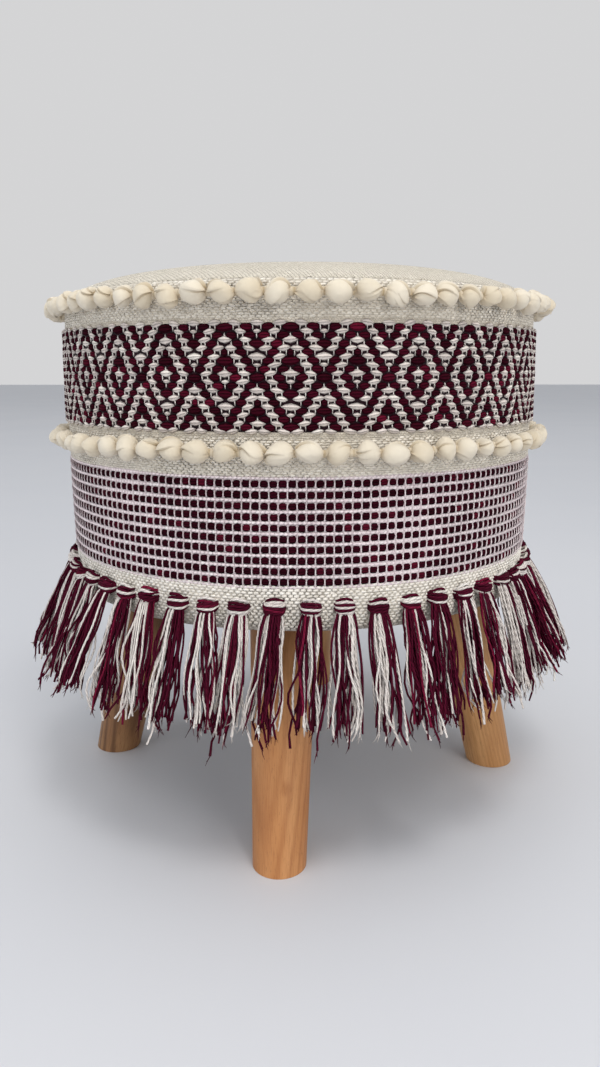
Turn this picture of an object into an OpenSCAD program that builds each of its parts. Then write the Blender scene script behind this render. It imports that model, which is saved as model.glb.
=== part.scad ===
// Round upholstered pouf on four splayed turned legs. The woven side carries
// two rows of stuffed bobbles and a fringe of tassels, and a plain crowned
// panel closes the top.
// The origin is the middle of the floor, Z is up, and the front leg points to -Y.

/* [Drum] */
// Diameter over the plain cloth at the hem
drum_d = 391; // [340:1:460]
// Height of the drum's underside above the floor
drum_lift = 186; // [130:1:240]
// How far the padded side swells at mid-height
side_swell = 2; // [0:0.5:6]
// Radius of the rolled shoulder between the side and the top panel
shoulder_r = 6; // [5:0.5:9]

/* [Woven bands, from the top down] */
// Height of the ribbed strip above the lozenge band
top_strip_h = 25; // [20:0.5:40]
// Height of the lozenge band
lozenge_h = 75.5; // [50:0.5:110]
// How far the lozenge band stands out
lozenge_rise = 3; // [1:0.5:5]
// Height of the ribbed strip between the two bands
middle_strip_h = 25.5; // [20:0.5:40]
// Height of the band of dashes
grid_h = 76; // [40:0.5:110]
// How far the band of dashes stands out
grid_rise = 0.5; // [0.2:0.1:2]
// Height of the plain hem that carries the tassels
hem_h = 33; // [27:0.5:50]

/* [Crown] */
// Rise of the middle of the seat above the top seam
crown_rise = 25; // [12:1:50]
// Share of that rise that is a shallow dome, the rest is the rolled edge
dome_share = 0.68; // [0.4:0.02:1]
// Sharpness of the rolled edge
edge_power = 12; // [6:1:20]

/* [Bobble trims] */
// Number of bobbles in each row
bobble_count = 68; // [40:1:78]
// Diameter of a bobble
bobble_d = 15.4; // [10:0.2:17]
// Diameter of the cord that joins the bobbles
trim_cord_d = 5; // [3:0.5:8]
// Depth of the upper row below the top seam
upper_trim_drop = 9.5; // [8.5:0.5:12]
// Depth of the lower row below the lozenge band
lower_trim_drop = 10; // [9:0.5:14]
// Angle from the front to the first bobble
bobble_phase = 1.6; // [0:0.1:5]

/* [Tassels] */
// Number of tassels round the hem
tassel_count = 52; // [30:1:56]
// Length of a tassel below its knot
tassel_l = 90; // [60:1:110]
// Widest diameter of a tassel
tassel_d = 21; // [15:0.5:22]
// Angle by which a tassel hangs outwards
tassel_lean = 20; // [14:1:30]
// Width of a knot along the hem
knot_w = 14.6; // [13:0.2:18]
// Height of a knot
knot_h = 11; // [9:0.2:12]
// Depth of a knot, out from the cloth
knot_depth = 11; // [8:0.2:13]
// Depth of the knots below the band of dashes
knot_drop = 14.5; // [11:0.5:16]

/* [Padding and cloth] */
// Thickness of the cover cloth
cloth_t = 1.5; // [0.8:0.1:2]
// Thickness of the wadding round the side
side_wadding_t = 4; // [3:0.5:10]
// Thickness of the wadding over the seat foam
top_wadding_t = 6; // [3:0.5:9]
// Thickness of the seat foam at its edge
pad_edge_h = 20; // [15:0.5:50]
// Width of the cover's seam allowance inside the top seam
seam_allowance = 8; // [5:0.5:15]
// How far the cover turns in under the base board
turn_in = 19; // [16:0.5:22]
// Thickness of the dust cloth
dust_cloth_t = 0.8; // [0.4:0.1:1.2]

/* [Frame] */
// Thickness of the base board
base_board_t = 15; // [15:0.5:25]
// Thickness of the board under the seat foam
seat_board_t = 12; // [9:0.5:20]
// Thickness of the bent wall round the boards
wall_t = 3; // [2:0.5:5]
// Number of posts between the boards
post_count = 8; // [8:4:12]
// Width of a post
post_w = 28; // [20:1:34]
// Distance between a post's outer corners and the wall
post_inset = 4; // [1:0.5:15]

/* [Legs] */
// Angle by which a leg splays outwards
leg_splay = 13; // [0:0.5:20]
// Diameter of a leg at the floor
foot_d = 40.5; // [25:0.5:60]
// Diameter of a leg at its top
leg_top_d = 51; // [40:0.5:64]
// Distance from the drum's side to the middle of a leg's plate
leg_inset = 57.5; // [54:0.5:80]

/* [Leg plates and fasteners] */
// Width of a square leg plate
plate_w = 60; // [56:1:62]
// Thickness of a leg plate
plate_t = 2.5; // [2:0.5:4]
// Corner radius of a leg plate
plate_corner_r = 6; // [2:0.5:7]
// Diameter of the slanted boss on a leg plate
boss_d = 26; // [18:0.5:38]
// Spacing of a plate's screws
plate_screw_pitch = 46; // [44:0.5:46]
// Length of a plate screw below its head
plate_screw_l = 13; // [10:0.5:14]
// Diameter of the hanger bolt
bolt_d = 8; // [6:0.5:10]
// Length of the hanger bolt inside a leg
bolt_in_leg = 34; // [20:1:45]
// Length of the hanger bolt above its plate
bolt_past_plate = 6; // [3:0.5:9]
// Length of a frame screw
frame_screw_l = 45; // [30:1:60]
// Diameter of every wood screw
screw_d = 4; // [3:0.5:5]
// Diameter of a screw head
screw_head_d = 8; // [7:0.5:9]
// Height of a plate screw's head
screw_head_h = 2.4; // [1.5:0.1:3]
// Number of staples that hold the cover under the base board
staple_count = 36; // [24:1:48]
// Width of a staple
staple_w = 10; // [6:0.5:12]
// Length of a staple's legs
staple_leg = 8; // [5:0.5:10]
// Thickness of the staple wire
staple_wire = 1; // [0.6:0.1:1.4]

/* [Hidden] */
$fn = 96;

// Clearance between pieces that lie against each other on a curve
fit_gap = 0.3;
// Clearance round a screw, bolt or staple in its hole
hole_gap = 0.1;
// A margin by which a cutting solid runs past what it cuts
past = 1;

// Directions in which the four legs point
front = -90;
right = 0;
back = 90;
left = 180;
leg_directions = [front, right, back, left];

// Levels, from the floor up
seam_z = drum_lift + hem_h + grid_h + middle_strip_h + lozenge_h + top_strip_h;
base_z = drum_lift + cloth_t;
base_top_z = base_z + base_board_t;
seat_top_z = seam_z - 2 * (cloth_t + fit_gap) - pad_edge_h;
seat_z = seat_top_z - seat_board_t;
hem_top_z = drum_lift + hem_h;
grid_top_z = hem_top_z + grid_h;
lozenge_z = grid_top_z + middle_strip_h;
lozenge_top_z = lozenge_z + lozenge_h;
knot_z = hem_top_z - knot_drop;
side_mid_z = (drum_lift + seam_z) / 2;

// Radii, from the cloth inwards
drum_r = drum_d / 2;
seam_r = drum_r - shoulder_r;
wadding_r = drum_r - cloth_t - fit_gap;
wall_r = wadding_r - side_wadding_t - fit_gap;
board_r = wall_r - wall_t - fit_gap;
hem_roll_r = drum_r - wall_r;
turn_in_r = drum_r - turn_in;
leg_ring_r = drum_r - leg_inset;
staple_ring_r = (turn_in_r + drum_r - hem_roll_r) / 2;
foam_step_r = seam_r - seam_allowance - fit_gap;

// Woven bands rise and fall over this height at their edges
band_bevel = 1.5;
// Fineness of the curves that are worked out point by point
roll_steps = 6;
swell_steps = 12;
crown_steps = 24;
// Sides of a tassel, alternately a lobe and a flute
tassel_sides = 10;
// Depth of the flutes and flatness of the skirt, as shares of its half width
flute_depth = 0.1;
skirt_flatness = 0.85;

// Posts stand with their outer corners just inside the wall
post_reach = board_r - post_inset;
post_ring_r = sqrt(post_reach * post_reach - post_w * post_w / 4) - post_w / 2;
post_h = seat_z - base_top_z;

// Legs meet their plates square to their own axis, clear of the screw heads
plate_z = base_z - plate_t;
leg_top_r = leg_top_d / 2;
leg_top_z = plate_z - leg_top_r * sin(leg_splay) - screw_head_h - fit_gap;
leg_l = leg_top_z / cos(leg_splay);
foot_ring_r = leg_ring_r + plate_z * tan(leg_splay);
leg_edge = 1.5;
plate_top_l = base_z / cos(leg_splay);
bolt_tip_l = plate_top_l + bolt_past_plate;

linen = [0.79, 0.77, 0.72];
burgundy = [0.30, 0.08, 0.16];
cream = [0.92, 0.89, 0.80];
beech = [0.75, 0.55, 0.36];
plywood = [0.80, 0.68, 0.50];
hardboard = [0.50, 0.36, 0.24];
steel = [0.70, 0.71, 0.73];
foam = [0.93, 0.90, 0.78];
polyester = [0.95, 0.95, 0.95];
black_cloth = [0.13, 0.13, 0.14];

// Extra radius of the padded side at a height
function swell(z) = side_swell * max(0, 1 - pow((z - side_mid_z) / (seam_z - side_mid_z), 2));

// Extra radius of the woven bands at a height, with bevelled edges
function bevelled(z, low, high, rise) =
    rise * max(0, min(1, (z - low) / band_bevel, (high - z) / band_bevel));
function band_rise(z) =
    bevelled(z, hem_top_z, grid_top_z, grid_rise)
    + bevelled(z, lozenge_z, lozenge_top_z, lozenge_rise);

// Height of the crown at a radius
function crown_z(r) =
    seam_z + crown_rise
    * (1 - dome_share * pow(r / seam_r, 2) - (1 - dome_share) * pow(r / seam_r, edge_power));

// Points of an arc about a centre, from one angle to another
function arc(x, y, r, from, to) =
    [for (i = [0:roll_steps]) let (a = from + (to - from) * i / roll_steps) [x + r * cos(a), y + r * sin(a)]];

// Points of the crown from the middle out to a radius, lowered by a depth.
// They lie closer together towards the rolled edge.
function crown_points(reach, depth) =
    [for (i = [0:crown_steps]) let (r = reach * sin(90 * i / crown_steps)) [r, crown_z(r) - depth]];

function reversed(points) = [for (i = [len(points) - 1:-1:0]) points[i]];

// Evenly spaced heights, and with them the edges of the woven bands
function swell_levels(low, high) = [for (i = [0:swell_steps]) low + (high - low) * i / swell_steps];
function band_levels(low, high) = sorted(concat(swell_levels(low, high), [
    hem_top_z, hem_top_z + band_bevel, grid_top_z - band_bevel, grid_top_z,
    lozenge_z, lozenge_z + band_bevel, lozenge_top_z - band_bevel, lozenge_top_z
]));
function sorted(v) =
    len(v) < 2 ? v :
    let (pivot = v[floor(len(v) / 2)])
    concat(
        sorted([for (x = v) if (x < pivot) x]),
        [pivot],
        sorted([for (x = v) if (x > pivot) x])
    );

module at_legs() {
    for (direction = leg_directions) rotate([0, 0, direction]) children();
}

// Places its children along a leg's slanted axis, with the axis's foot on the floor
module on_leg_axis() {
    translate([foot_ring_r, 0, 0]) rotate([0, -leg_splay, 0]) children();
}

module at_posts() {
    for (i = [0:post_count - 1])
        rotate([0, 0, (i + 0.5) * 360 / post_count]) translate([post_ring_r, 0, 0]) children();
}

module at_plate_screws() {
    for (x = [-1, 1], y = [-1, 1])
        translate([leg_ring_r + x * plate_screw_pitch / 2, y * plate_screw_pitch / 2, 0]) children();
}

module at_staples() {
    for (i = [0:staple_count - 1])
        rotate([0, 0, i * 360 / staple_count]) translate([staple_ring_r, 0, 0]) children();
}

// A wood screw that points up, with its countersunk head's face at z = 0
module countersunk_screw() {
    head_r = screw_head_d / 2;
    shank_r = screw_d / 2;
    rotate_extrude() polygon([
        [0, 0], [head_r, 0], [shank_r, head_r - shank_r],
        [shank_r, frame_screw_l - screw_d], [0, frame_screw_l]
    ]);
}

// Its hole, with the countersink run on past the board's face
module countersunk_hole() {
    head_r = screw_head_d / 2 + hole_gap;
    shank_r = screw_d / 2 + hole_gap;
    deep = frame_screw_l + hole_gap;
    rotate_extrude() polygon([
        [0, -past], [head_r + past, -past], [shank_r, head_r - shank_r], [shank_r, deep], [0, deep]
    ]);
}

// A pan-head screw that points up, with the underside of its head at z = 0
module pan_head_screw() {
    head_r = screw_head_d / 2;
    crown = screw_head_h * 0.4;
    rotate_extrude() polygon([
        [0, -screw_head_h], [head_r * 0.7, -screw_head_h], [head_r, -screw_head_h + crown], [head_r, 0],
        [screw_d / 2, 0], [screw_d / 2, plate_screw_l - screw_d / 2], [0, plate_screw_l]
    ]);
}

// The hole of a plate screw, through its plate and into the board
module plate_screw_hole() {
    translate([0, 0, -past]) cylinder(d = screw_d + 2 * hole_gap, h = plate_screw_l + past + hole_gap);
}

// A turned leg with a straight taper, cut flat to the floor and bored for its bolt
module leg(direction) {
    grow = (leg_top_d - foot_d) / 2 / leg_l;
    below = foot_d;
    foot_r = foot_d / 2;
    color(beech) rotate([0, 0, direction]) difference() {
        on_leg_axis() rotate_extrude() polygon([
            [0, -below], [foot_r - grow * below, -below],
            [leg_top_r - grow * leg_edge, leg_l - leg_edge], [leg_top_r - leg_edge, leg_l], [0, leg_l]
        ]);
        on_leg_axis() translate([0, 0, leg_l - bolt_in_leg - hole_gap])
            cylinder(d = bolt_d + 2 * hole_gap, h = bolt_in_leg + hole_gap + past);
        translate([foot_ring_r, 0, -foot_d]) cube([4 * foot_d, 4 * foot_d, 2 * foot_d], center = true);
    }
}

// A square steel plate whose slanted boss takes the hanger bolt
module leg_plate(direction) {
    straight = plate_w - 2 * plate_corner_r;
    color(steel) rotate([0, 0, direction]) difference() {
        union() {
            translate([leg_ring_r, 0, plate_z + plate_t / 2]) {
                cube([plate_w, straight, plate_t], center = true);
                cube([straight, plate_w, plate_t], center = true);
                for (x = [-1, 1], y = [-1, 1])
                    translate([x * straight / 2, y * straight / 2, 0])
                        cylinder(r = plate_corner_r, h = plate_t, center = true);
            }
            intersection() {
                on_leg_axis() translate([0, 0, leg_l]) cylinder(d = boss_d, h = plate_top_l - leg_l + boss_d);
                translate([leg_ring_r, 0, plate_z + plate_t / 2 - plate_w / 2])
                    cube([2 * plate_w, plate_w, plate_w], center = true);
            }
        }
        on_leg_axis() translate([0, 0, leg_l - past])
            cylinder(d = bolt_d + 2 * hole_gap, h = plate_top_l - leg_l + boss_d);
        at_plate_screws() translate([0, 0, plate_z]) plate_screw_hole();
    }
}

// The four bolts that join the legs to their plates
module hanger_bolts() {
    chamfer = bolt_d / 8;
    low = leg_l - bolt_in_leg;
    color(steel) at_legs() on_leg_axis() rotate_extrude() polygon([
        [0, low], [bolt_d / 2 - chamfer, low], [bolt_d / 2, low + chamfer],
        [bolt_d / 2, bolt_tip_l - chamfer], [bolt_d / 2 - chamfer, bolt_tip_l], [0, bolt_tip_l]
    ]);
}

module plate_screws() {
    color(steel) at_legs() at_plate_screws() translate([0, 0, plate_z]) pan_head_screw();
}

// The wooden disc under the drum, bored for everything that is driven into it
module base_board() {
    color(plywood) difference() {
        translate([0, 0, base_z]) cylinder(r = board_r, h = base_board_t);
        at_posts() translate([0, 0, base_z]) countersunk_hole();
        at_legs() at_plate_screws() translate([0, 0, plate_z]) plate_screw_hole();
        at_legs() on_leg_axis() translate([0, 0, plate_top_l - boss_d])
            cylinder(d = bolt_d + 4 * hole_gap, h = boss_d + bolt_past_plate + past);
        at_staples() staple_slots();
    }
}

module seat_board() {
    color(plywood) difference() {
        translate([0, 0, seat_z]) cylinder(r = board_r, h = seat_board_t);
        at_posts() translate([0, 0, seat_top_z]) mirror([0, 0, 1]) countersunk_hole();
    }
}

// The square posts that hold the two boards apart
module frame_posts() {
    color(beech) difference() {
        at_posts() translate([0, 0, base_top_z + post_h / 2]) cube([post_w, post_w, post_h], center = true);
        at_posts() {
            translate([0, 0, base_z]) countersunk_hole();
            translate([0, 0, seat_top_z]) mirror([0, 0, 1]) countersunk_hole();
        }
    }
}

module frame_screws() {
    color(steel) at_posts() {
        translate([0, 0, base_z]) countersunk_screw();
        translate([0, 0, seat_top_z]) mirror([0, 0, 1]) countersunk_screw();
    }
}

// The thin wall that is bent round both boards
module drum_wall() {
    color(hardboard) difference() {
        translate([0, 0, base_z]) cylinder(r = wall_r, h = seat_top_z - base_z);
        translate([0, 0, base_z - past]) cylinder(r = wall_r - wall_t, h = seat_top_z - base_z + 2 * past);
    }
}

// The crowned foam, lower where the cover's seam allowance lies over its edge
module seat_foam() {
    depth = cloth_t + top_wadding_t + 2 * fit_gap;
    edge_z = seat_top_z + pad_edge_h;
    color(foam) rotate_extrude() polygon(concat(
        crown_points(foam_step_r, depth),
        [[foam_step_r, edge_z], [wall_r, edge_z], [wall_r, seat_top_z], [0, seat_top_z]]
    ));
}

// The soft layer between the foam and the top panel
module top_wadding() {
    reach = foam_step_r - fit_gap;
    color(polyester) rotate_extrude() polygon(concat(
        crown_points(reach, cloth_t + fit_gap),
        reversed(crown_points(reach, cloth_t + fit_gap + top_wadding_t))
    ));
}

// The soft layer round the wall, rounded at its lower edge like the hem
module side_wadding() {
    inner_r = wadding_r - side_wadding_t;
    low = base_z + fit_gap;
    high = seam_z - shoulder_r;
    levels = swell_levels(low + side_wadding_t, high);
    color(polyester) rotate_extrude() polygon(concat(
        [[inner_r, high], [inner_r, low]],
        arc(inner_r, low + side_wadding_t, side_wadding_t, -90, -5),
        [for (z = levels) [wadding_r + swell(z), z]]
    ));
}

// The outline of the side, closed along the axis: either its outer face with
// the woven bands, or its inner face, which lies one cloth deeper
function side_outline(inner) =
    let (depth = inner ? cloth_t : 0)
    let (low = drum_lift + hem_roll_r)
    let (high = seam_z - shoulder_r)
    concat(
        [[0, drum_lift + depth]],
        arc(drum_r - hem_roll_r, low, hem_roll_r - depth, -90, -5),
        inner
            ? [for (z = swell_levels(low, high)) [drum_r - depth + swell(z), z]]
            : [for (z = band_levels(low, high)) [drum_r + swell(z) + band_rise(z), z]],
        arc(seam_r, high, shoulder_r - depth, 5, 90),
        [[0, seam_z - depth]]
    );

// The woven side of the cover. It rolls in to the top seam, where its seam
// allowance lies under the top panel, and turns in under the base board.
module side_cover() {
    allowance_z = seam_z - 2 * cloth_t - fit_gap;
    color(linen) difference() {
        rotate_extrude() {
            difference() {
                polygon(side_outline(inner = false));
                polygon(side_outline(inner = true));
                translate([0, drum_lift - past]) square([turn_in_r, cloth_t + 2 * past]);
                translate([0, seam_z - cloth_t - past]) square([seam_r, cloth_t + 2 * past]);
            }
            translate([seam_r - seam_allowance, allowance_z]) square([seam_allowance + 2 * cloth_t, cloth_t]);
        }
        at_staples() staple_slots();
    }
}

// The plain panel that closes the top, cut to the crown
module top_cover() {
    reach = seam_r - fit_gap;
    color(linen) rotate_extrude() polygon(concat(
        crown_points(reach, 0),
        reversed(crown_points(reach, cloth_t))
    ));
}

// A row of stuffed bobbles on their cord, resting against the cloth at a height.
// The cord runs through them a little behind their middles.
module bobble_trim(z) {
    cord_back = 1;
    bobble_ring_r = drum_r + swell(z) + fit_gap + bobble_d / 2;
    color(cream) translate([0, 0, z]) {
        rotate_extrude() translate([bobble_ring_r - cord_back, 0]) circle(d = trim_cord_d);
        for (i = [0:bobble_count - 1])
            rotate([0, 0, front + bobble_phase + i * 360 / bobble_count])
                translate([bobble_ring_r, 0, 0]) sphere(d = bobble_d, $fn = 36);
    }
}

module upper_bobble_trim() {
    bobble_trim(seam_z - upper_trim_drop);
}

module lower_bobble_trim() {
    bobble_trim(lozenge_z - lower_trim_drop);
}

// Rings of one tassel, from the top of its knot to its tips. The knot is tied
// flat against the hem and the skirt hangs outwards, fluted like a bundle of
// yarn. A ring gives how far out and up its middle lies, its half depth, its
// half width, its tilt and the depth of its flutes.
function tassel_rings() =
    let (knot = [[0.5, 0.55], [0.2, 1], [-0.2, 1], [-0.5, 0.7]])
    let (skirt = [[0.3, 0.9], [0.65, 1], [1, 0.9]])
    concat(
        [for (part = knot) [0, part[0] * knot_h, part[1] * knot_depth / 2, part[1] * knot_w / 2, 0, 0]],
        [for (part = skirt)
            let (down = part[0] * tassel_l)
            let (half_w = part[1] * tassel_d / 2)
            [down * sin(tassel_lean), -knot_h / 2 - down * cos(tassel_lean),
                half_w * skirt_flatness, half_w, tassel_lean, flute_depth]]
    );

// Points of one tassel that hangs in a direction, ring by ring, then its two ends
function tassel_points(rings, ring_r, direction) =
    let (placed = [for (ring = rings, j = [0:tassel_sides - 1])
        let (a = 360 * j / tassel_sides)
        let (lobe = 1 + ring[5] * (j % 2 == 0 ? 1 : -1))
        [ring[0] + ring[2] * lobe * cos(a) * cos(ring[4]), ring[3] * lobe * sin(a),
            ring[1] + ring[2] * lobe * cos(a) * sin(ring[4])]])
    let (ends = [for (ring = [rings[0], rings[len(rings) - 1]]) [ring[0], 0, ring[1]]])
    [for (p = concat(placed, ends))
        [(ring_r + p[0]) * cos(direction) - p[1] * sin(direction),
            (ring_r + p[0]) * sin(direction) + p[1] * cos(direction), knot_z + p[2]]];

// Triangles of one closed tassel whose points start at a number
function tassel_faces(ring_count, start) =
    let (n = tassel_sides)
    let (top = start + ring_count * n)
    let (low = start + (ring_count - 1) * n)
    concat(
        [for (i = [0:ring_count - 2], j = [0:n - 1])
            let (a = start + i * n + j)
            let (b = start + i * n + (j + 1) % n)
            each [[a, b, b + n], [a, b + n, a + n]]],
        [for (j = [0:n - 1]) [top, start + (j + 1) % n, start + j]],
        [for (j = [0:n - 1]) [top + 1, low + j, low + (j + 1) % n]]
    );

// The fringe: tassels all round the hem, each a closed body of its own
module tassels() {
    rings = tassel_rings();
    ring_r = drum_r + swell(knot_z) + fit_gap + knot_depth / 2;
    point_count = len(rings) * tassel_sides + 2;
    color(burgundy) polyhedron(
        points = [for (i = [0:tassel_count - 1])
            each tassel_points(rings, ring_r, front + i * 360 / tassel_count)],
        faces = [for (i = [0:tassel_count - 1]) each tassel_faces(len(rings), i * point_count)]
    );
}

// The thin cloth that closes the underside. It lies on the cover's turned-in
// edge, steps up to the board inside it, and is cut out round the leg plates.
module dust_cloth() {
    margin = 1.5;
    step_r = turn_in_r - fit_gap;
    reach = drum_r - hem_roll_r - margin;
    hole_w = plate_w + 2 * margin;
    color(black_cloth) difference() {
        rotate_extrude() polygon([
            [0, base_z - dust_cloth_t], [step_r - dust_cloth_t, base_z - dust_cloth_t],
            [step_r - dust_cloth_t, drum_lift - dust_cloth_t], [reach, drum_lift - dust_cloth_t],
            [reach, drum_lift], [step_r, drum_lift], [step_r, base_z], [0, base_z]
        ]);
        at_legs() translate([leg_ring_r, 0, base_z]) cube([hole_w, hole_w, 4 * dust_cloth_t], center = true);
        at_staples() staple_slots();
    }
}

// The two slots that a staple's legs make
module staple_slots() {
    slot_w = staple_wire + 2 * hole_gap;
    low = drum_lift - dust_cloth_t - past;
    for (side = [-1, 1])
        translate([-slot_w / 2, side * (staple_w - staple_wire) / 2 - slot_w / 2, low])
            cube([slot_w, slot_w, staple_leg + past + hole_gap]);
}

// The staples through the dust cloth and the cover's turned-in edge
module cover_staples() {
    face_z = drum_lift - dust_cloth_t;
    color(steel) at_staples() {
        translate([-staple_wire / 2, -staple_w / 2, face_z - staple_wire])
            cube([staple_wire, staple_w, staple_wire]);
        for (side = [-1, 1])
            translate([0, side * (staple_w - staple_wire) / 2, face_z + (staple_leg - staple_wire) / 2])
                cube([staple_wire, staple_wire, staple_leg + staple_wire], center = true);
    }
}

leg(front);  // leg_front
leg(right);  // leg_right
leg(back);  // leg_back
leg(left);  // leg_left
leg_plate(front);  // leg_plate_front
leg_plate(right);  // leg_plate_right
leg_plate(back);  // leg_plate_back
leg_plate(left);  // leg_plate_left
hanger_bolts();
plate_screws();
base_board();
frame_posts();
seat_board();
frame_screws();
drum_wall();
seat_foam();
top_wadding();
side_wadding();
side_cover();
top_cover();
upper_bobble_trim();
lower_bobble_trim();
tassels();
dust_cloth();
cover_staples();
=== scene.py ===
"""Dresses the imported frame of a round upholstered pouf: woven cover, stuffed trims, yarn fringe and turned legs."""

import logging
import math
from dataclasses import dataclass, field, replace
from enum import Enum
from functools import cache
from typing import Any, Callable, Iterator, NamedTuple, Sequence

import bmesh
import bpy
import numpy as np
from mathutils import Matrix, Vector
from mathutils.geometry import delaunay_2d_cdt


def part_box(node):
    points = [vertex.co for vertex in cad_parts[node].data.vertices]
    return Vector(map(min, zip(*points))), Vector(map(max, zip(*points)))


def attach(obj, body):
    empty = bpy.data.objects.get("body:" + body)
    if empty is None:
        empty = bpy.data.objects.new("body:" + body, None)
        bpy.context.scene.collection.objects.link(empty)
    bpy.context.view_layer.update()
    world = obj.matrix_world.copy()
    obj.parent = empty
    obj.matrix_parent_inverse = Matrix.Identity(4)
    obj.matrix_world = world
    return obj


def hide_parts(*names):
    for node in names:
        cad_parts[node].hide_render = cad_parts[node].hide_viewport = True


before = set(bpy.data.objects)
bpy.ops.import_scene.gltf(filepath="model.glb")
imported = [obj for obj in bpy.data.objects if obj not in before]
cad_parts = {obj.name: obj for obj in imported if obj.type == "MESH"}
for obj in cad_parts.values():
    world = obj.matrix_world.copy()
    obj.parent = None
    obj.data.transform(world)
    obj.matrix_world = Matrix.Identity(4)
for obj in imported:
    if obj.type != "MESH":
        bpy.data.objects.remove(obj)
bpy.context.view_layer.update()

LOG = logging.getLogger("pouf")
ROOT = "root"
MM = 0.001
FULL_TURN = 2 * math.pi
FRONT = -FULL_TURN / 4

Collection = bpy.types.Collection
Material = bpy.types.Material
Node = bpy.types.Node
NodeTree = bpy.types.NodeTree
Object = bpy.types.Object
Outputs = bpy.types.NodeOutputs
Socket = bpy.types.NodeSocket
Colour = tuple[float, float, float, float]
Pair = tuple[float, float]
Triple = tuple[float, float, float]
Faces = list[tuple[int, ...]]
Floats = tuple[Pair, ...]


class Slot(Enum):
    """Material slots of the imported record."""

    FOAM = "foam"
    WADDING = "wadding"
    SIDE_CLOTH = "side_cloth"
    TOP_CLOTH = "top_cloth"
    JERSEY = "bobble_jersey"
    BURGUNDY = "burgundy_yarn"
    WHITE = "white_yarn"
    DUST_CLOTH = "dust_cloth"


@cache
def node_box(name: str) -> tuple[Vector, Vector]:
    """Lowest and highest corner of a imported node, measured once."""
    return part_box(name)


def tint(red: float, green: float, blue: float) -> Colour:
    """Turns a colour as the eye names it, from 0 to 255, into the linear one that shaders take.

    Args:
        red, green, blue: the colour on screen.

    Returns:
        The linear colour with full alpha.
    """
    shares = (red / 255, green / 255, blue / 255)
    linear = [c / 12.92 if c <= 0.04045 else ((c + 0.055) / 1.055) ** 2.4 for c in shares]
    return (*linear, 1.0)


def tints(*shades: Triple) -> Iterator[Colour]:
    """Turns several colours as the eye names them into linear ones."""
    return (tint(*shade) for shade in shades)


# ---- node trees


class Sketch:
    """A node tree under construction, with one short call for each node."""

    def __init__(self, tree: NodeTree) -> None:
        """Takes the tree to add to."""
        self.tree = tree

    def fill(self, node: Node, values: dict[Any, Any]) -> Node:
        """Fills or links a node's sockets.

        Args:
            node: the node.
            values: socket name or number to a value, or to another node's socket.

        Returns:
            The same node.
        """
        for key, value in values.items():
            if isinstance(value, Socket):
                self.tree.links.new(value, node.inputs[key])
            else:
                node.inputs[key].default_value = value
        return node

    def node(self, kind: str, values: dict[Any, Any] | None = None, **options: Any) -> Node:
        """Adds a node, sets its options, and fills or links its sockets.

        Args:
            kind: the node's type name.
            values: socket name or number to a value, or to another node's socket.
            options: the node's own settings.

        Returns:
            The new node.
        """
        made = self.tree.nodes.new(kind)
        for key, value in options.items():
            setattr(made, key, value)
        return self.fill(made, values or {})

    def result(self, kind: str, values: dict[Any, Any] | None = None, **options: Any) -> Socket:
        """Adds a node and returns its first result."""
        return self.node(kind, values, **options).outputs[0]

    def group(self, tree: NodeTree, values: dict[str, Any]) -> Outputs:
        """Places a shared effect and returns its outputs."""
        return self.node("ShaderNodeGroup", values, node_tree=tree).outputs

    def math(self, operation: str, *values: Any, clamp: bool = False) -> Socket:
        """Adds one arithmetic step and returns its result."""
        return self.result("ShaderNodeMath", dict(enumerate(values)), operation=operation, use_clamp=clamp)

    def vector(self, operation: str, *values: Any) -> Socket:
        """Adds one vector step and returns its result."""
        return self.result("ShaderNodeVectorMath", dict(enumerate(values)), operation=operation)

    def parts(self, vector: Socket) -> tuple[Socket, Socket, Socket]:
        """Splits a vector into its three numbers."""
        split = self.node("ShaderNodeSeparateXYZ", {0: vector})
        return split.outputs[0], split.outputs[1], split.outputs[2]

    def joined(self, x: Any, y: Any, z: Any) -> Socket:
        """Makes a vector of three numbers."""
        return self.result("ShaderNodeCombineXYZ", {0: x, 1: y, 2: z})

    def noise(self, vector: Any, scale: Any, detail: float = 2.0, roughness: float = 0.5) -> Socket:
        """Adds smooth noise from 0 to 1 at a scale in cycles per metre."""
        values = {"Vector": vector, "Scale": scale, "Detail": detail, "Roughness": roughness}
        return self.result("ShaderNodeTexNoise", values)

    def between(self, value: Any, low: Any, high: Any, to_low: Any = 0.0, to_high: Any = 1.0) -> Socket:
        """Maps a value smoothly from one range to another and holds it there."""
        values = {0: value, 1: low, 2: high, 3: to_low, 4: to_high}
        return self.result("ShaderNodeMapRange", values, interpolation_type="SMOOTHSTEP")

    def wave(self, angle: Any) -> Socket:
        """Turns an angle into a sine wave from 0 to 1."""
        return self.math("MULTIPLY_ADD", self.math("SINE", angle), 0.5, 0.5)

    def blend(self, share: Any, first: Any, second: Any, way: str = "MIX") -> Socket:
        """Blends two colours."""
        values = {0: share, 6: first, 7: second}
        return self.node("ShaderNodeMix", values, data_type="RGBA", blend_type=way).outputs[2]

    def bump(self, height: Socket, reach: float) -> Socket:
        """Turns a height from 0 to 1 into a normal for a relief of the given depth in metres."""
        return self.result("ShaderNodeBump", {"Strength": 1.0, "Distance": reach, "Height": height})

    def attribute(self, name: str, output: str = "Fac") -> Socket:
        """Reads one of the mesh's own attributes."""
        return self.node("ShaderNodeAttribute", attribute_name=name).outputs[output]

    def place(self) -> Socket:
        """Reads the piece's own coordinates, in metres."""
        return self.node("ShaderNodeTexCoord").outputs["Object"]

    def handling(self, place: Socket, patch: float) -> Outputs:
        """Places the shared drift of tone, with patches of the given size in metres."""
        return self.group(tone_drift(), {"Place": place, "Patch": patch})


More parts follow.
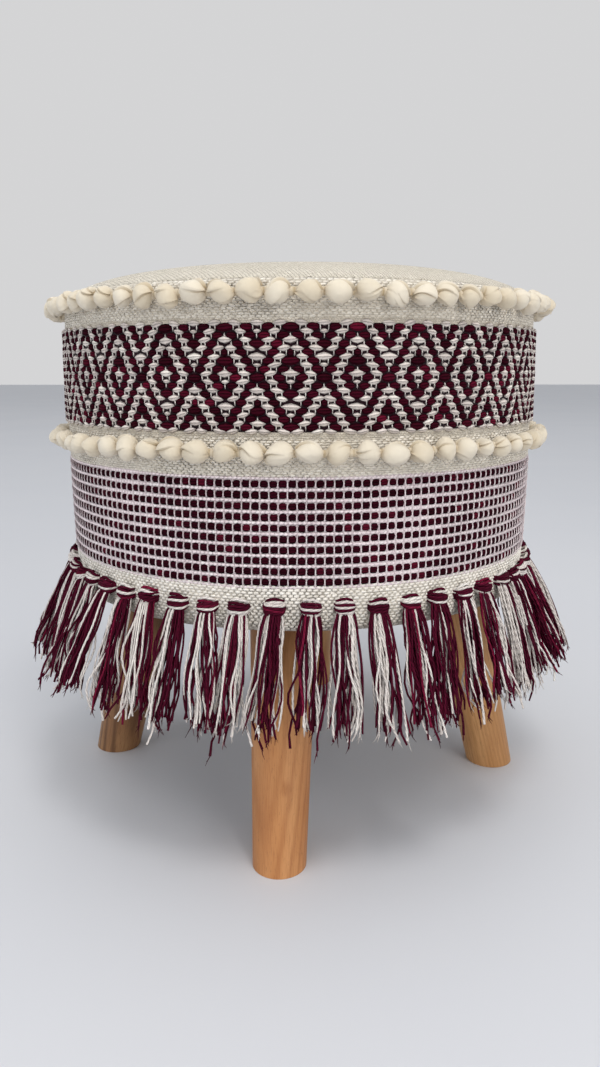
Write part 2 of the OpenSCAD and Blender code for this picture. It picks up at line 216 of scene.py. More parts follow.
def group_sketch(
    name: str, takes: dict[str, str], gives: dict[str, str], kind: str = "Shader"
) -> tuple[Sketch, Outputs, Node]:
    """Starts a node group with named sockets.

    Args:
        name: the group's name.
        takes: type of socket to the names of its inputs, parted by commas.
        gives: the same for its outputs.
        kind: Shader or Geometry.

    Returns:
        The sketch, the input node's outputs and the output node.
    """
    tree = bpy.data.node_groups.new(name, f"{kind}NodeTree")
    for way, sockets in (("INPUT", takes), ("OUTPUT", gives)):
        for form, labels in sockets.items():
            for label in labels.split(", "):
                tree.interface.new_socket(name=label, in_out=way, socket_type=f"NodeSocket{form}")
    sketch = Sketch(tree)
    return sketch, sketch.node("NodeGroupInput").outputs, sketch.node("NodeGroupOutput")


@cache
def spun_yarn() -> NodeTree:
    """Plies that twist along a strand, with fibre fleck over them.

    Returns:
        The node group.
    """
    takes = {"Float": "Along, Plies, Twist", "Vector": "Round, Place"}
    s, i, o = group_sketch("spun_yarn", takes, {"Float": "Height, Groove, Fleck"})
    x, y, _ = s.parts(i["Round"])
    angle = s.math("ARCTAN2", y, x)
    lean = s.math("MULTIPLY", s.math("DIVIDE", i["Along"], i["Twist"]), FULL_TURN)
    fuzz = s.noise(i["Place"], 900.0, 2.0)
    phase = s.math("ADD", s.math("MULTIPLY_ADD", angle, i["Plies"], lean), s.math("MULTIPLY", fuzz, 1.6))
    ply = s.wave(phase)
    fibre = s.noise(s.vector("MULTIPLY", i["Place"], (1.0, 1.0, 0.35)), 3200.0, 1.0)
    # Groove marks the hollows between plies, which the yarn finishes darken as painted shade.
    s.fill(o, {
        "Height": s.math("MULTIPLY_ADD", fibre, 0.35, s.math("POWER", ply, 0.6)),
        "Groove": s.between(ply, 0.0, 0.3, 1.0, 0.0), "Fleck": fibre,
    })
    return s.tree


@cache
def woven_cells() -> NodeTree:
    """Rows of small raised yarn cells, as in a plain, basket or ribbed weave.

    Returns:
        The node group.
    """
    takes = {"Float": "Cell Width, Cell Height, Stagger, Wander", "Vector": "Cloth"}
    s, i, o = group_sketch("woven_cells", takes, {"Float": "Height, Gap, Tone"})
    u, v, _ = s.parts(i["Cloth"])
    elsewhere = s.vector("ADD", i["Cloth"], (3.1, 1.7, 0.0))
    drift_u = s.math("SUBTRACT", s.noise(i["Cloth"], 140.0, 2.0), 0.5)
    drift_v = s.math("SUBTRACT", s.noise(elsewhere, 180.0, 2.0), 0.5)
    row = s.math("DIVIDE", v, i["Cell Height"])
    row = s.math("MULTIPLY_ADD", drift_v, s.math("MULTIPLY", i["Wander"], 3.0), row)
    row_number = s.math("FLOOR", row)
    column = s.math("MULTIPLY_ADD", row_number, i["Stagger"], s.math("DIVIDE", u, i["Cell Width"]))
    column = s.math("MULTIPLY_ADD", drift_u, s.math("MULTIPLY", i["Wander"], 4.0), column)
    slopes = []
    for place, power in ((column, 2.6), (row, 2.2)):
        off = s.math("ABSOLUTE", s.math("MULTIPLY_ADD", s.math("FRACT", place), 2.0, -1.0))
        slopes.append(s.math("SUBTRACT", 1.0, s.math("POWER", off, power)))
    dome = s.math("MULTIPLY", *slopes)
    number = s.joined(s.math("FLOOR", column), row_number, 0.0)
    tone = s.node("ShaderNodeTexWhiteNoise", {0: number}, noise_dimensions="3D").outputs["Value"]
    size = s.math("MULTIPLY_ADD", tone, 0.5, 0.6)
    s.fill(o, {
        "Height": s.math("POWER", s.math("MULTIPLY", dome, size, clamp=True), 0.6),
        "Gap": s.between(dome, 0.02, 0.34, 1.0, 0.0), "Tone": tone,
    })
    return s.tree


@cache
def wood_grain() -> NodeTree:
    """Growth bands, fibres and pores of a turned stick, whose pith runs near its local Z axis.

    Returns:
        The node group.
    """
    takes = {"Float": "Ring", "Vector": "Stick, Pith"}
    s, i, o = group_sketch("wood_grain", takes, {"Float": "Bands, Fibre, Pores"})

    def drawn_out(share: float) -> Socket:
        """Stretches the stick's coordinates along its length."""
        return s.vector("MULTIPLY", i["Stick"], (1.0, 1.0, share))

    values = {"Vector": drawn_out(0.10), "Scale": 28.0, "Detail": 3.0}
    sway = s.vector("SUBTRACT", s.node("ShaderNodeTexNoise", values).outputs[1], (0.5, 0.5, 0.5))
    sway = s.vector("MULTIPLY", sway, (6 * MM, 6 * MM, 0.0))
    x, y, z = s.parts(s.vector("SUBTRACT", s.vector("ADD", i["Stick"], sway), i["Pith"]))
    reach = s.math("SQRT", s.math("MULTIPLY_ADD", x, x, s.math("MULTIPLY", y, y)))
    ring = s.math("DIVIDE", s.math("MULTIPLY_ADD", z, 0.03, reach), i["Ring"])
    band = s.wave(s.math("MULTIPLY", ring, FULL_TURN))
    s.fill(o, {
        "Bands": s.math("POWER", band, 1.8), "Fibre": s.noise(drawn_out(0.035), 1500.0, 3.0, 0.6),
        "Pores": s.between(s.noise(drawn_out(0.09), 2300.0, 1.0), 0.66, 0.74),
    })
    return s.tree


@cache
def tone_drift() -> NodeTree:
    """Slow drift of tone over a piece and a fine grain over that, as use and dye leave it.

    Returns:
        The node group.
    """
    s, i, o = group_sketch("handling", {"Vector": "Place", "Float": "Patch"}, {"Float": "Patches, Grain"})
    s.fill(o, {
        "Patches": s.noise(i["Place"], s.math("DIVIDE", 1.0, i["Patch"]), 3.0),
        "Grain": s.noise(i["Place"], 700.0, 3.0, 0.7),
    })
    return s.tree


# ---- finishes


class Finish:
    """A look that is made into a material once, when a piece first asks for it."""

    name: str

    def look(self, s: Sketch) -> dict[str, Any]:
        """Adds the finish's own nodes and returns the inputs of its Principled shader."""
        raise NotImplementedError

    @cache
    def material(self) -> Material:
        """Makes the finish's material, on the first call only.

        Returns:
            The material.
        """
        made = bpy.data.materials.new(self.name)
        made.use_nodes = True
        made.node_tree.nodes.clear()
        s = Sketch(made.node_tree)
        s.node("ShaderNodeOutputMaterial", {0: s.result("ShaderNodeBsdfPrincipled", self.look(s))})
        return made


@dataclass(frozen=True)
class TwoTone(Finish):
    """A finish that drifts between a pale and a dark tone."""

    name: str
    pale: Colour
    dark: Colour


@dataclass(frozen=True)
class YarnFinish(Finish):
    """Spun cotton yarn, from the attributes along, round and tone of each strand."""

    name: str
    deep: Colour
    body: Colour
    bright: Colour
    plies: float = 2.0
    twist: float = 5 * MM
    relief: float = 0.5 * MM
    bright_share: float = 0.12
    groove: float = 0.55
    sheen: float = 0.0
    gloss: float = 0.2
    patch: float = 18 * MM

    def look(self, s: Sketch) -> dict[str, Any]:
        """Colours each strand by its own tone and paints shade into the grooves between its plies.

        Args:
            s: the material's tree.

        Returns:
            The shader's inputs.
        """
        yarn = s.group(spun_yarn(), {
            "Along": s.attribute("along"), "Round": s.attribute("round", "Vector"), "Plies": self.plies,
            "Twist": self.twist, "Place": s.place(),
        })
        use = s.handling(s.place(), self.patch)
        tone, plain_share = s.attribute("tone"), 1.0 - self.bright_share
        colour = s.blend(s.between(tone, 0.0, plain_share), self.deep, self.body)
        colour = s.blend(s.between(tone, plain_share, 1.0), colour, self.bright)
        colour = s.blend(s.math("MULTIPLY", yarn["Fleck"], 0.5), colour, s.blend(0.5, self.body, self.bright))
        wear = s.math("MULTIPLY_ADD", use["Patches"], 0.3, 0.86)
        # Painted shade: the grooves between plies are darkened, over the slow tone drift.
        shade = s.math("MULTIPLY_ADD", yarn["Groove"], -self.groove, wear)
        return {
            "Base Color": s.blend(1.0, colour, s.joined(shade, shade, shade), "MULTIPLY"),
            "Normal": s.bump(yarn["Height"], self.relief), "Roughness": 0.92,
            "Specular IOR Level": self.gloss, "Sheen Weight": self.sheen, "Sheen Roughness": 0.6,
        }


class Weave(Enum):
    """Ground weaves of the cover: cell width, cell height, stagger, wander and relief, in metres."""

    RIBBED = (1.9 * MM, 1.25 * MM, 0.5, 0.30, 0.5 * MM)
    BASKET = (2.5 * MM, 1.45 * MM, 0.5, 0.36, 0.7 * MM)
    WEFT_FACED = (2.2 * MM, 1.3 * MM, 0.5, 0.25, 0.4 * MM)
    TWILL = (2.6 * MM, 1.4 * MM, 0.33, 0.25, 0.8 * MM)

    @property
    def relief(self) -> float:
        """How deep the weave's gaps are."""
        return self.value[-1]

    def cells(self, s: Sketch, cloth: Socket) -> Outputs:
        """Places the weave's cells on cloth coordinates in metres."""
        labels = ("Cell Width", "Cell Height", "Stagger", "Wander")
        return s.group(woven_cells(), {"Cloth": cloth} | dict(zip(labels, self.value)))


@dataclass(frozen=True)
class WovenFinish(TwoTone):
    """Woven cotton cloth, from the piece's cloth UV map in metres."""

    # Colour of the painted shade in the gaps between cells.
    gap: Colour
    weave: Weave
    gap_shade_share: float = 0.7
    patch: float = 70 * MM
    grain: float = 0.25
    sheen: float = 0.15

    def cloth(self, s: Sketch) -> Socket:
        """Reads where each spot lies on the cloth, in metres."""
        return s.result("ShaderNodeUVMap", uv_map="cloth")

    def darkness(self, s: Sketch, tone: Socket, patches: Socket) -> Socket:
        """Joins a cell's own tone and the slow drift into the share of the dark tone."""
        both = s.math("ADD", s.math("MULTIPLY", tone, 0.6), s.math("MULTIPLY", patches, 0.5))
        return s.between(both, 0.15, 0.95)

    def look(self, s: Sketch) -> dict[str, Any]:
        """Colours the cells between two tones, paints shade into the gaps between them and raises the yarn.

        Args:
            s: the material's tree.

        Returns:
            The shader's inputs.
        """
        cells = self.weave.cells(s, self.cloth(s))
        use = s.handling(s.place(), self.patch)
        colour = s.blend(self.darkness(s, cells["Tone"], use["Patches"]), self.pale, self.dark)
        height = s.math("MULTIPLY_ADD", use["Grain"], self.grain, cells["Height"])
        return {
            # Painted shade: the gap colour darkens the spaces between cells.
            "Base Color": s.blend(s.math("MULTIPLY", cells["Gap"], self.gap_shade_share), colour, self.gap),
            "Normal": s.bump(height, self.weave.relief), "Roughness": 0.95, "Specular IOR Level": 0.15,
            "Sheen Weight": self.sheen,
        }


@dataclass(frozen=True)
class FlatClothFinish(WovenFinish):
    """Woven cloth laid out flat on the piece's own X and Y, with an even spread of tones."""

    def cloth(self, s: Sketch) -> Socket:
        """Reads where each spot lies on the cloth, in metres."""
        return s.place()

    def darkness(self, s: Sketch, tone: Socket, patches: Socket) -> Socket:
        """Joins a cell's own tone and the slow drift in equal shares."""
        return s.math("MULTIPLY_ADD", tone, 0.5, s.math("MULTIPLY", patches, 0.5))


@dataclass(frozen=True)
class JerseyFinish(TwoTone):
    """Smooth stretched jersey, with painted shade in its folds."""

    # Colour of the painted shade in the folds and at the pinched ends.
    fold: Colour
    patch: float = 14 * MM
    relief: float = 0.35 * MM

    def look(self, s: Sketch) -> dict[str, Any]:
        """Warms the tone of each bobble a little, paints shade into the creases and wrinkles the cloth.

        Args:
            s: the material's tree.

        Returns:
            The shader's inputs.
        """
        use = s.handling(s.place(), self.patch)
        drift = s.math("MULTIPLY_ADD", s.attribute("tone"), 0.5, s.math("MULTIPLY", use["Patches"], 0.5))
        colour = s.blend(s.between(drift, 0.25, 0.85), self.pale, self.dark)
        squat = s.vector("MULTIPLY", s.place(), (1.0, 1.0, 1.7))
        wrinkle = s.between(s.noise(squat, 75.0, 1.0), 0.44, 0.56)
        values = {"Vector": s.place(), "Scale": 420.0, "Distortion": 2.0, "Detail": 1.0}
        rib = s.node("ShaderNodeTexWave", values).outputs[1]
        stitches = s.math("MULTIPLY_ADD", use["Grain"], 0.16, s.math("MULTIPLY", rib, 0.2))
        return {
            # Painted shade: darker along the folds, the pinched ends and the cord's wrinkles.
            "Base Color": s.blend(s.attribute("crease"), colour, self.fold),
            "Normal": s.bump(s.math("MULTIPLY_ADD", wrinkle, 0.8, stitches), self.relief),
            "Roughness": 0.8, "Specular IOR Level": 0.25, "Sheen Weight": 0.25,
        }


@dataclass(frozen=True)
class WoodFinish(Finish):
    """Oiled wood whose grain follows a stick's own axis."""

    name: str
    pale: Colour
    body: Colour
    streak: Colour
    ring: float
    pith: Triple
    streak_share: float = 0.5
    knot: Triple | None = None
    foot: Triple = (0.0, 0.0, 0.0)
    lean: Triple = (0.0, 0.0, 0.0)
    knot_r: float = 2.2 * MM
    knot_heart: Colour = tint(62, 36, 20)
    pore: Colour = (0.02, 0.01, 0.005, 1.0)
    relief: float = 0.12 * MM

    def look(self, s: Sketch) -> dict[str, Any]:
        """Lays growth bands and fibres along the stick and sets a small knot where there is one.

        Args:
            s: the material's tree.

        Returns:
            The shader's inputs.
        """
        values = {"Vector": s.place(), "Location": self.foot, "Rotation": self.lean}
        stick = s.result("ShaderNodeMapping", values, vector_type="TEXTURE")
        grain = s.group(wood_grain(), {"Stick": stick, "Ring": self.ring, "Pith": self.pith})
        use = s.handling(s.vector("MULTIPLY", stick, (1.0, 1.0, 0.25)), 24 * MM)
        colour = s.blend(s.between(use["Patches"], 0.3, 0.7), self.pale, self.body)
        colour = s.blend(s.math("MULTIPLY", grain["Bands"], self.streak_share), colour, self.streak)
        colour = s.blend(s.between(grain["Fibre"], 0.42, 0.72, 0.0, 0.45), colour, self.streak)
        colour = s.blend(s.math("MULTIPLY", grain["Pores"], 0.5), colour, s.blend(0.5, self.streak, self.pore))
        if self.knot is not None:
            off = s.vector("MULTIPLY", s.vector("SUBTRACT", stick, self.knot), (1.0, 1.0, 0.55))
            far = s.node("ShaderNodeVectorMath", {0: off}, operation="LENGTH").outputs["Value"]
            far = s.math("MULTIPLY_ADD", use["Grain"], 1.2 * MM, far)
            halo = s.between(far, 0.6 * self.knot_r, 2.6 * self.knot_r, 0.55, 0.0)
            heart = s.between(far, 0.5 * self.knot_r, 1.1 * self.knot_r, 0.85, 0.0)
            colour = s.blend(heart, s.blend(halo, colour, self.streak), self.knot_heart)
        height = s.math("MULTIPLY_ADD", grain["Pores"], -0.6, s.math("MULTIPLY", grain["Fibre"], 0.6))
        return {
            "Base Color": colour, "Roughness": s.between(grain["Fibre"], 0.3, 0.8, 0.42, 0.6),
            "Normal": s.bump(height, self.relief), "Specular IOR Level": 0.4,
        }


@dataclass(frozen=True)
class MetalFinish(TwoTone):
    """Plated steel with a faint brushed drift."""

    relief: float = 0.02 * MM

    def look(self, s: Sketch) -> dict[str, Any]:
        """Drifts the plating's tone and gloss.

        Args:
            s: the material's tree.

        Returns:
            The shader's inputs.
        """
        use = s.handling(s.vector("MULTIPLY", s.place(), (1.0, 0.2, 1.0)), 9 * MM)
        gloss = s.between(use["Grain"], 0.3, 0.7, 0.28, 0.46)
        colour = s.blend(use["Patches"], self.pale, self.dark)
        return {"Base Color": colour, "Roughness": gloss, "Normal": s.bump(use["Grain"], self.relief), "Metallic": 1.0}


@dataclass(frozen=True)
class FibreFinish(TwoTone):
    """Matted or pressed fibres: wadding, foam, hardboard, plywood faces and felted underside cloth."""

    speck: Colour
    patch: float
    relief: float
    stretch: Triple = (1.0, 1.0, 1.0)
    speck_share: float = 0.4

    def look(self, s: Sketch) -> dict[str, Any]:
        """Mottles the fibres and scatters specks among them.

        Args:
            s: the material's tree.

        Returns:
            The shader's inputs.
        """
        use = s.handling(s.vector("MULTIPLY", s.place(), self.stretch), self.patch)
        colour = s.blend(s.between(use["Patches"], 0.3, 0.7), self.pale, self.dark)
        colour = s.blend(s.between(use["Grain"], 0.5, 0.75, 0.0, self.speck_share), colour, self.speck)
        return {"Base Color": colour, "Normal": s.bump(use["Grain"], self.relief), "Roughness": 0.9}


@dataclass(frozen=True)
class FloorFinish(TwoTone):
    """Plain pale studio floor."""

    patch: float = 500 * MM

    def look(self, s: Sketch) -> dict[str, Any]:
        """Drifts the floor's tone a very little."""
        colour = s.blend(s.handling(s.place(), self.patch)["Patches"], self.pale, self.dark)
        return {"Base Color": colour, "Roughness": 0.55, "Specular IOR Level": 0.3}


BURGUNDY_YARN = YarnFinish("spun_burgundy", *tints((52, 6, 24), (74, 12, 36), (124, 26, 56)), groove=0.5, gloss=0.08)
WHITE_YARN = YarnFinish(
    "spun_white", *tints((214, 204, 198), (236, 228, 222), (247, 243, 236)), groove=0.32, sheen=0.1
)
BURGUNDY_FLOAT = YarnFinish(
    "burgundy_float", *tints((20, 2, 8), (45, 5, 18), (88, 15, 35)), 7.0, 60 * MM, 0.5 * MM, 0.14, 0.72, gloss=0.05
)
LOZENGE_FLOAT = YarnFinish(
    "lozenge_float", *tints((24, 2, 9), (60, 7, 24), (104, 19, 43)), 7.0, 60 * MM, 0.5 * MM, 0.18, 0.72, gloss=0.05
)
WHITE_FLOAT = YarnFinish(
    "white_float", *tints((198, 187, 181), (225, 214, 207), (243, 236, 227)), 6.0, 60 * MM, groove=0.5, sheen=0.1
)
PINKISH_WEFT = YarnFinish(
    "pinkish_weft", *tints((234, 215, 218), (249, 234, 236), (254, 247, 245)), 2.0, 12 * MM, 0.35 * MM,
    groove=0.22, sheen=0.1
)
# Painted shade: the weft of the strips under the bobbles is set a little darker than the hem's.
COTTON_WEFT_PAINTED_SHADE = YarnFinish(
    "cotton_weft_painted_shade", *tints((214, 206, 193), (232, 225, 212), (244, 238, 227)), 2.0, 9 * MM, 0.3 * MM, 0.3, 0.18, 0.1
)
# Painted light: the hem's copy of the same weft is set brighter, for the light thrown up from the floor.
HEM_WEFT_PAINTED_LIGHT = YarnFinish(
    "hem_weft_painted_light", *tints((224, 217, 206), (241, 235, 225), (250, 246, 238)), 2.0, 9 * MM, 0.3 * MM, 0.3, 0.16, 0.1
)
# In each woven finish the third tint is the painted shade of the gaps between cells.
# ribbed_cotton's tones are a little darker than basket_cotton's: painted shade for the top strip under the upper
# bobbles.
RIBBED_COTTON = WovenFinish("ribbed_cotton", *tints((220, 211, 196), (200, 191, 176), (168, 158, 142)), Weave.RIBBED)
BASKET_COTTON = WovenFinish("basket_cotton", *tints((226, 218, 204), (208, 200, 186), (178, 168, 152)), Weave.BASKET)
# Its near-black tones are partly the dark burgundy yarn and partly painted shade for the holes between the floats.
LOZENGE_GROUND = WovenFinish("lozenge_ground", *tints((40, 10, 22), (24, 6, 14), (10, 3, 6)), Weave.WEFT_FACED)
GRID_GROUND = WovenFinish("grid_ground", *tints((236, 221, 223), (219, 204, 207), (172, 150, 156)), Weave.WEFT_FACED)
TOP_TWILL = FlatClothFinish(
    "top_twill", *tints((243, 236, 222), (218, 209, 192), (134, 123, 104)), Weave.TWILL, 0.85, 90 * MM, 0.3, 0.2
)
# The third tint is the painted shade of the folds.
JERSEY = JerseyFinish("cream_jersey", *tints((229, 219, 200), (217, 204, 180), (178, 156, 120)))
STEEL = MetalFinish("plated_steel", *tints((196, 198, 200), (142, 146, 150)))
POST_WOOD = WoodFinish(
    "post_wood", *tints((226, 190, 140), (208, 168, 114), (178, 134, 84)), 5 * MM, (60 * MM, 40 * MM, 0.0)
)
PLYWOOD = FibreFinish(
    "birch_plywood", *tints((214, 184, 140), (188, 152, 104), (150, 112, 72)), 30 * MM, 0.1 * MM, (0.2, 1.0, 6.0)
)
HARDBOARD = FibreFinish("pressed_hardboard", *tints((150, 108, 70), (126, 88, 56), (92, 62, 40)), 12 * MM, 0.1 * MM)
FOAM = FibreFinish("seat_foam", *tints((238, 226, 176), (226, 210, 150), (196, 178, 120)), 9 * MM, 0.4 * MM)
WADDING = FibreFinish(
    "polyester_wadding", *tints((244, 244, 244), (224, 226, 228), (200, 202, 206)), 14 * MM, 0.8 * MM
)
DUST_CLOTH = FibreFinish("felted_cloth", *tints((44, 43, 45), (30, 30, 32), (70, 69, 72)), 5 * MM, 0.15 * MM)
FLOOR = FloorFinish("studio_floor", *tints((222, 223, 227), (215, 217, 223)))


# ---- mesh tools


def link(piece: Object) -> Object:
    """Puts a new object in the scene and returns it."""
    bpy.context.scene.collection.objects.link(piece)
    return piece


def mesh_piece(name: str, points: Any, faces: Sequence[Sequence[int]]) -> Object:
    """Makes a mesh object with smooth faces at the origin.

    Args:
        name: the piece's name.
        points: its vertices, in metres.
        faces: its faces as vertex numbers.

    Returns:
        The linked object.
    """
    mesh = bpy.data.meshes.new(name)
    mesh.from_pydata([tuple(map(float, p)) for p in points], [], [tuple(map(int, f)) for f in faces])
    mesh.shade_smooth()
    return link(bpy.data.objects.new(name, mesh))


def set_attribute(mesh: bpy.types.Mesh, name: str, values: Any) -> None:
    """Stores one number or one vector for each point of a mesh.

    Args:
        mesh: the mesh.
        name: the attribute's name.
        values: its values, in the order of the points.
    """
    values = np.asarray(values, np.float32)
    kind, key = ("FLOAT", "value") if values.ndim == 1 else ("FLOAT_VECTOR", "vector")
    mesh.attributes.new(name, kind, "POINT").data.foreach_set(key, values.ravel())


def outward(piece: Object, merge: float = 0.0) -> Object:
    """Merges doubled vertices and turns the faces outward.

    Args:
        piece: a closed mesh.
        merge: the distance within which vertices become one.

    Returns:
        The same piece.
    """
    work = bmesh.new()
    work.from_mesh(piece.data)
    if merge:
        bmesh.ops.remove_doubles(work, verts=work.verts, dist=merge)
    bmesh.ops.recalc_face_normals(work, faces=work.faces)
    work.to_mesh(piece.data)
    work.free()
    piece.data.update()
    return piece


def closed_shape(name: str, points: Any, faces: Faces, **attributes: Any) -> Object:
    """Makes a closed mesh with its faces outward.

    Args:
        name: the shape's name.
        points: its vertices, in metres.
        faces: its faces as vertex numbers.
        attributes: values on its points, by name.

    Returns:
        The shape.
    """
    made = mesh_piece(name, points, faces)
    for label, values in attributes.items():
        set_attribute(made.data, label, values)
    return outward(made)


def tube(rings: int, sides: int, closed: bool = False) -> Faces:
    """Faces between rings of points that follow each other.

    Args:
        rings: how many rings there are.
        sides: how many points each ring has.
        closed: whether the last ring joins the first.

    Returns:
        The faces, ring by ring.
    """
    faces = []
    for i in range(rings if closed else rings - 1):
        here, there = i * sides, (i + 1) % rings * sides
        faces += [(here + k, here + (k + 1) % sides, there + (k + 1) % sides, there + k) for k in range(sides)]
    return faces


def fan(first: int, sides: int, tip: int) -> Faces:
    """Faces between a ring, which starts at a given point, and a tip."""
    return [(first + k, first + (k + 1) % sides, tip) for k in range(sides)]


def turns_of(count: int, offset: float = 0.0) -> np.ndarray:
    """Angles that part a full turn evenly, in radians."""
    return FULL_TURN * (np.arange(count) + offset) / count


def running_length(path: np.ndarray) -> np.ndarray:
    """Length along a path at each of its points."""
    return np.concatenate([[0], np.cumsum(np.linalg.norm(np.diff(path, axis=0), axis=1))])


def arc(centre: Pair, radius: float, start: float, end: float, steps: int) -> list[Pair]:
    """Points of a circular arc in the plane of radius and height, with its angles in degrees."""
    turns = np.radians(np.linspace(start, end, steps + 1))
    return [(centre[0] + radius * math.cos(t), centre[1] + radius * math.sin(t)) for t in turns]


def soft_noise(angle: Any, level: Any, seed: int, waves: int = 9, busiest: int = 14) -> Any:
    """Smooth noise round the axis that closes on itself, from about -1 to 1.

    Args:
        angle: directions in radians.
        level: a second coordinate, in radians of its own.
        seed: picks the noise.
        waves: how many waves are added up.
        busiest: the most waves in one turn.

    Returns:
        The noise at each place.
    """
    pick = np.random.default_rng(seed)
    total = np.zeros(np.broadcast(angle, level).shape)
    for _ in range(waves):
        rounds, climb, phase = pick.integers(2, busiest), pick.uniform(-2, 2), pick.uniform(0, FULL_TURN)
        total = total + np.sin(rounds * angle + climb * level + phase)
    return total / waves * 1.6


def turned(
    name: str, outline: Sequence[Pair], segments: int, reference: float, finishes: Sequence[Finish],
    zones: Sequence[int] = (), wobble: Callable[[Any, Any, Any], tuple[Any, Any]] | None = None,
) -> Object:
    """Turns a closed outline about the vertical axis, with a UV map in metres of cloth.

    Args:
        name: the piece's name.
        outline: radius and height of each corner, in order.
        segments: how many steps make the full turn.
        reference: the radius whose arc length the UV map keeps.
        finishes: the piece's finishes.
        zones: the finish number of each side of the outline, if there are several.
        wobble: a function of angle, radius and height that gives an offset in radius and one in height.

    Returns:
        The closed piece.
    """
    ring, sides = np.array(outline), len(outline)
    angles = FRONT + math.pi + np.linspace(0, FULL_TURN, segments, endpoint=False)
    turn, radius = np.meshgrid(angles, ring[:, 0], indexing="ij")
    level = np.broadcast_to(ring[:, 1], turn.shape)
    if wobble is not None:
        out, up = wobble(turn, radius, level)
        radius, level = radius + out * (radius > 1e-6), level + up
    points = np.stack([radius * np.cos(turn), radius * np.sin(turn), level], -1).reshape(-1, 3)
    drop = running_length(np.vstack([ring, ring[:1]])) + ring[0, 1]
    left = (angles - angles[0])[:, None] * reference + np.zeros(sides)
    right = left + FULL_TURN / segments * reference
    upper, lower = (np.broadcast_to(d, left.shape) for d in (drop[:-1], drop[1:]))
    corners = np.stack([left, upper, left, lower, right, lower, right, upper], -1)
    piece = mesh_piece(name, points, tube(segments, sides, closed=True))
    piece.data.uv_layers.new(name="cloth").uv.foreach_set("vector", corners.astype(np.float32).ravel())
    if len(zones):
        piece.data.polygons.foreach_set("material_index", np.tile(np.array(zones, np.int32), segments))
    outward(piece, 1e-7)
    for finish in finishes:
        piece.data.materials.append(finish.material())
    return piece


def run_tree(source: Object, tree: NodeTree, name: str, values: dict[str, Any]) -> Object:
    """Runs a geometry tree on a source object and keeps the result as a plain mesh.

    Args:
        source: the object that the tree starts from, which is removed afterwards.
        tree: the geometry tree.
        name: the new piece's name.
        values: the tree's inputs by name.

    Returns:
        The new piece, without modifiers.
    """
    modifier = source.modifiers.new("maker", "NODES")
    modifier.node_group = tree
    for item in tree.interface.items_tree:
        if item.item_type == "SOCKET" and item.in_out == "INPUT" and item.name in values:
            modifier[item.identifier] = values[item.name]
    graph = bpy.context.evaluated_depsgraph_get()
    result = source.evaluated_get(graph)
    mesh = bpy.data.meshes.new_from_object(result, preserve_all_data_layers=True, depsgraph=graph)
    mesh.name = name
    bpy.data.objects.remove(source)
    return link(bpy.data.objects.new(name, mesh))


def finished(s: Sketch, output: Node, geometry: Socket, material: Socket) -> NodeTree:
    """Ends a tree: its result is realized, shaded smooth and given its material.

    Args:
        s: the tree.
        output: its output node.
        geometry: what the tree has made.
        material: the material to give.

    Returns:
        The node tree.
    """
    solid = s.result("GeometryNodeRealizeInstances", {0: geometry})
    smooth = s.result("GeometryNodeSetShadeSmooth", {0: solid})
    dressed = s.result("GeometryNodeSetMaterial", {"Geometry": smooth, "Material": material})
    s.fill(output, {"Geometry": dressed})
    return s.tree


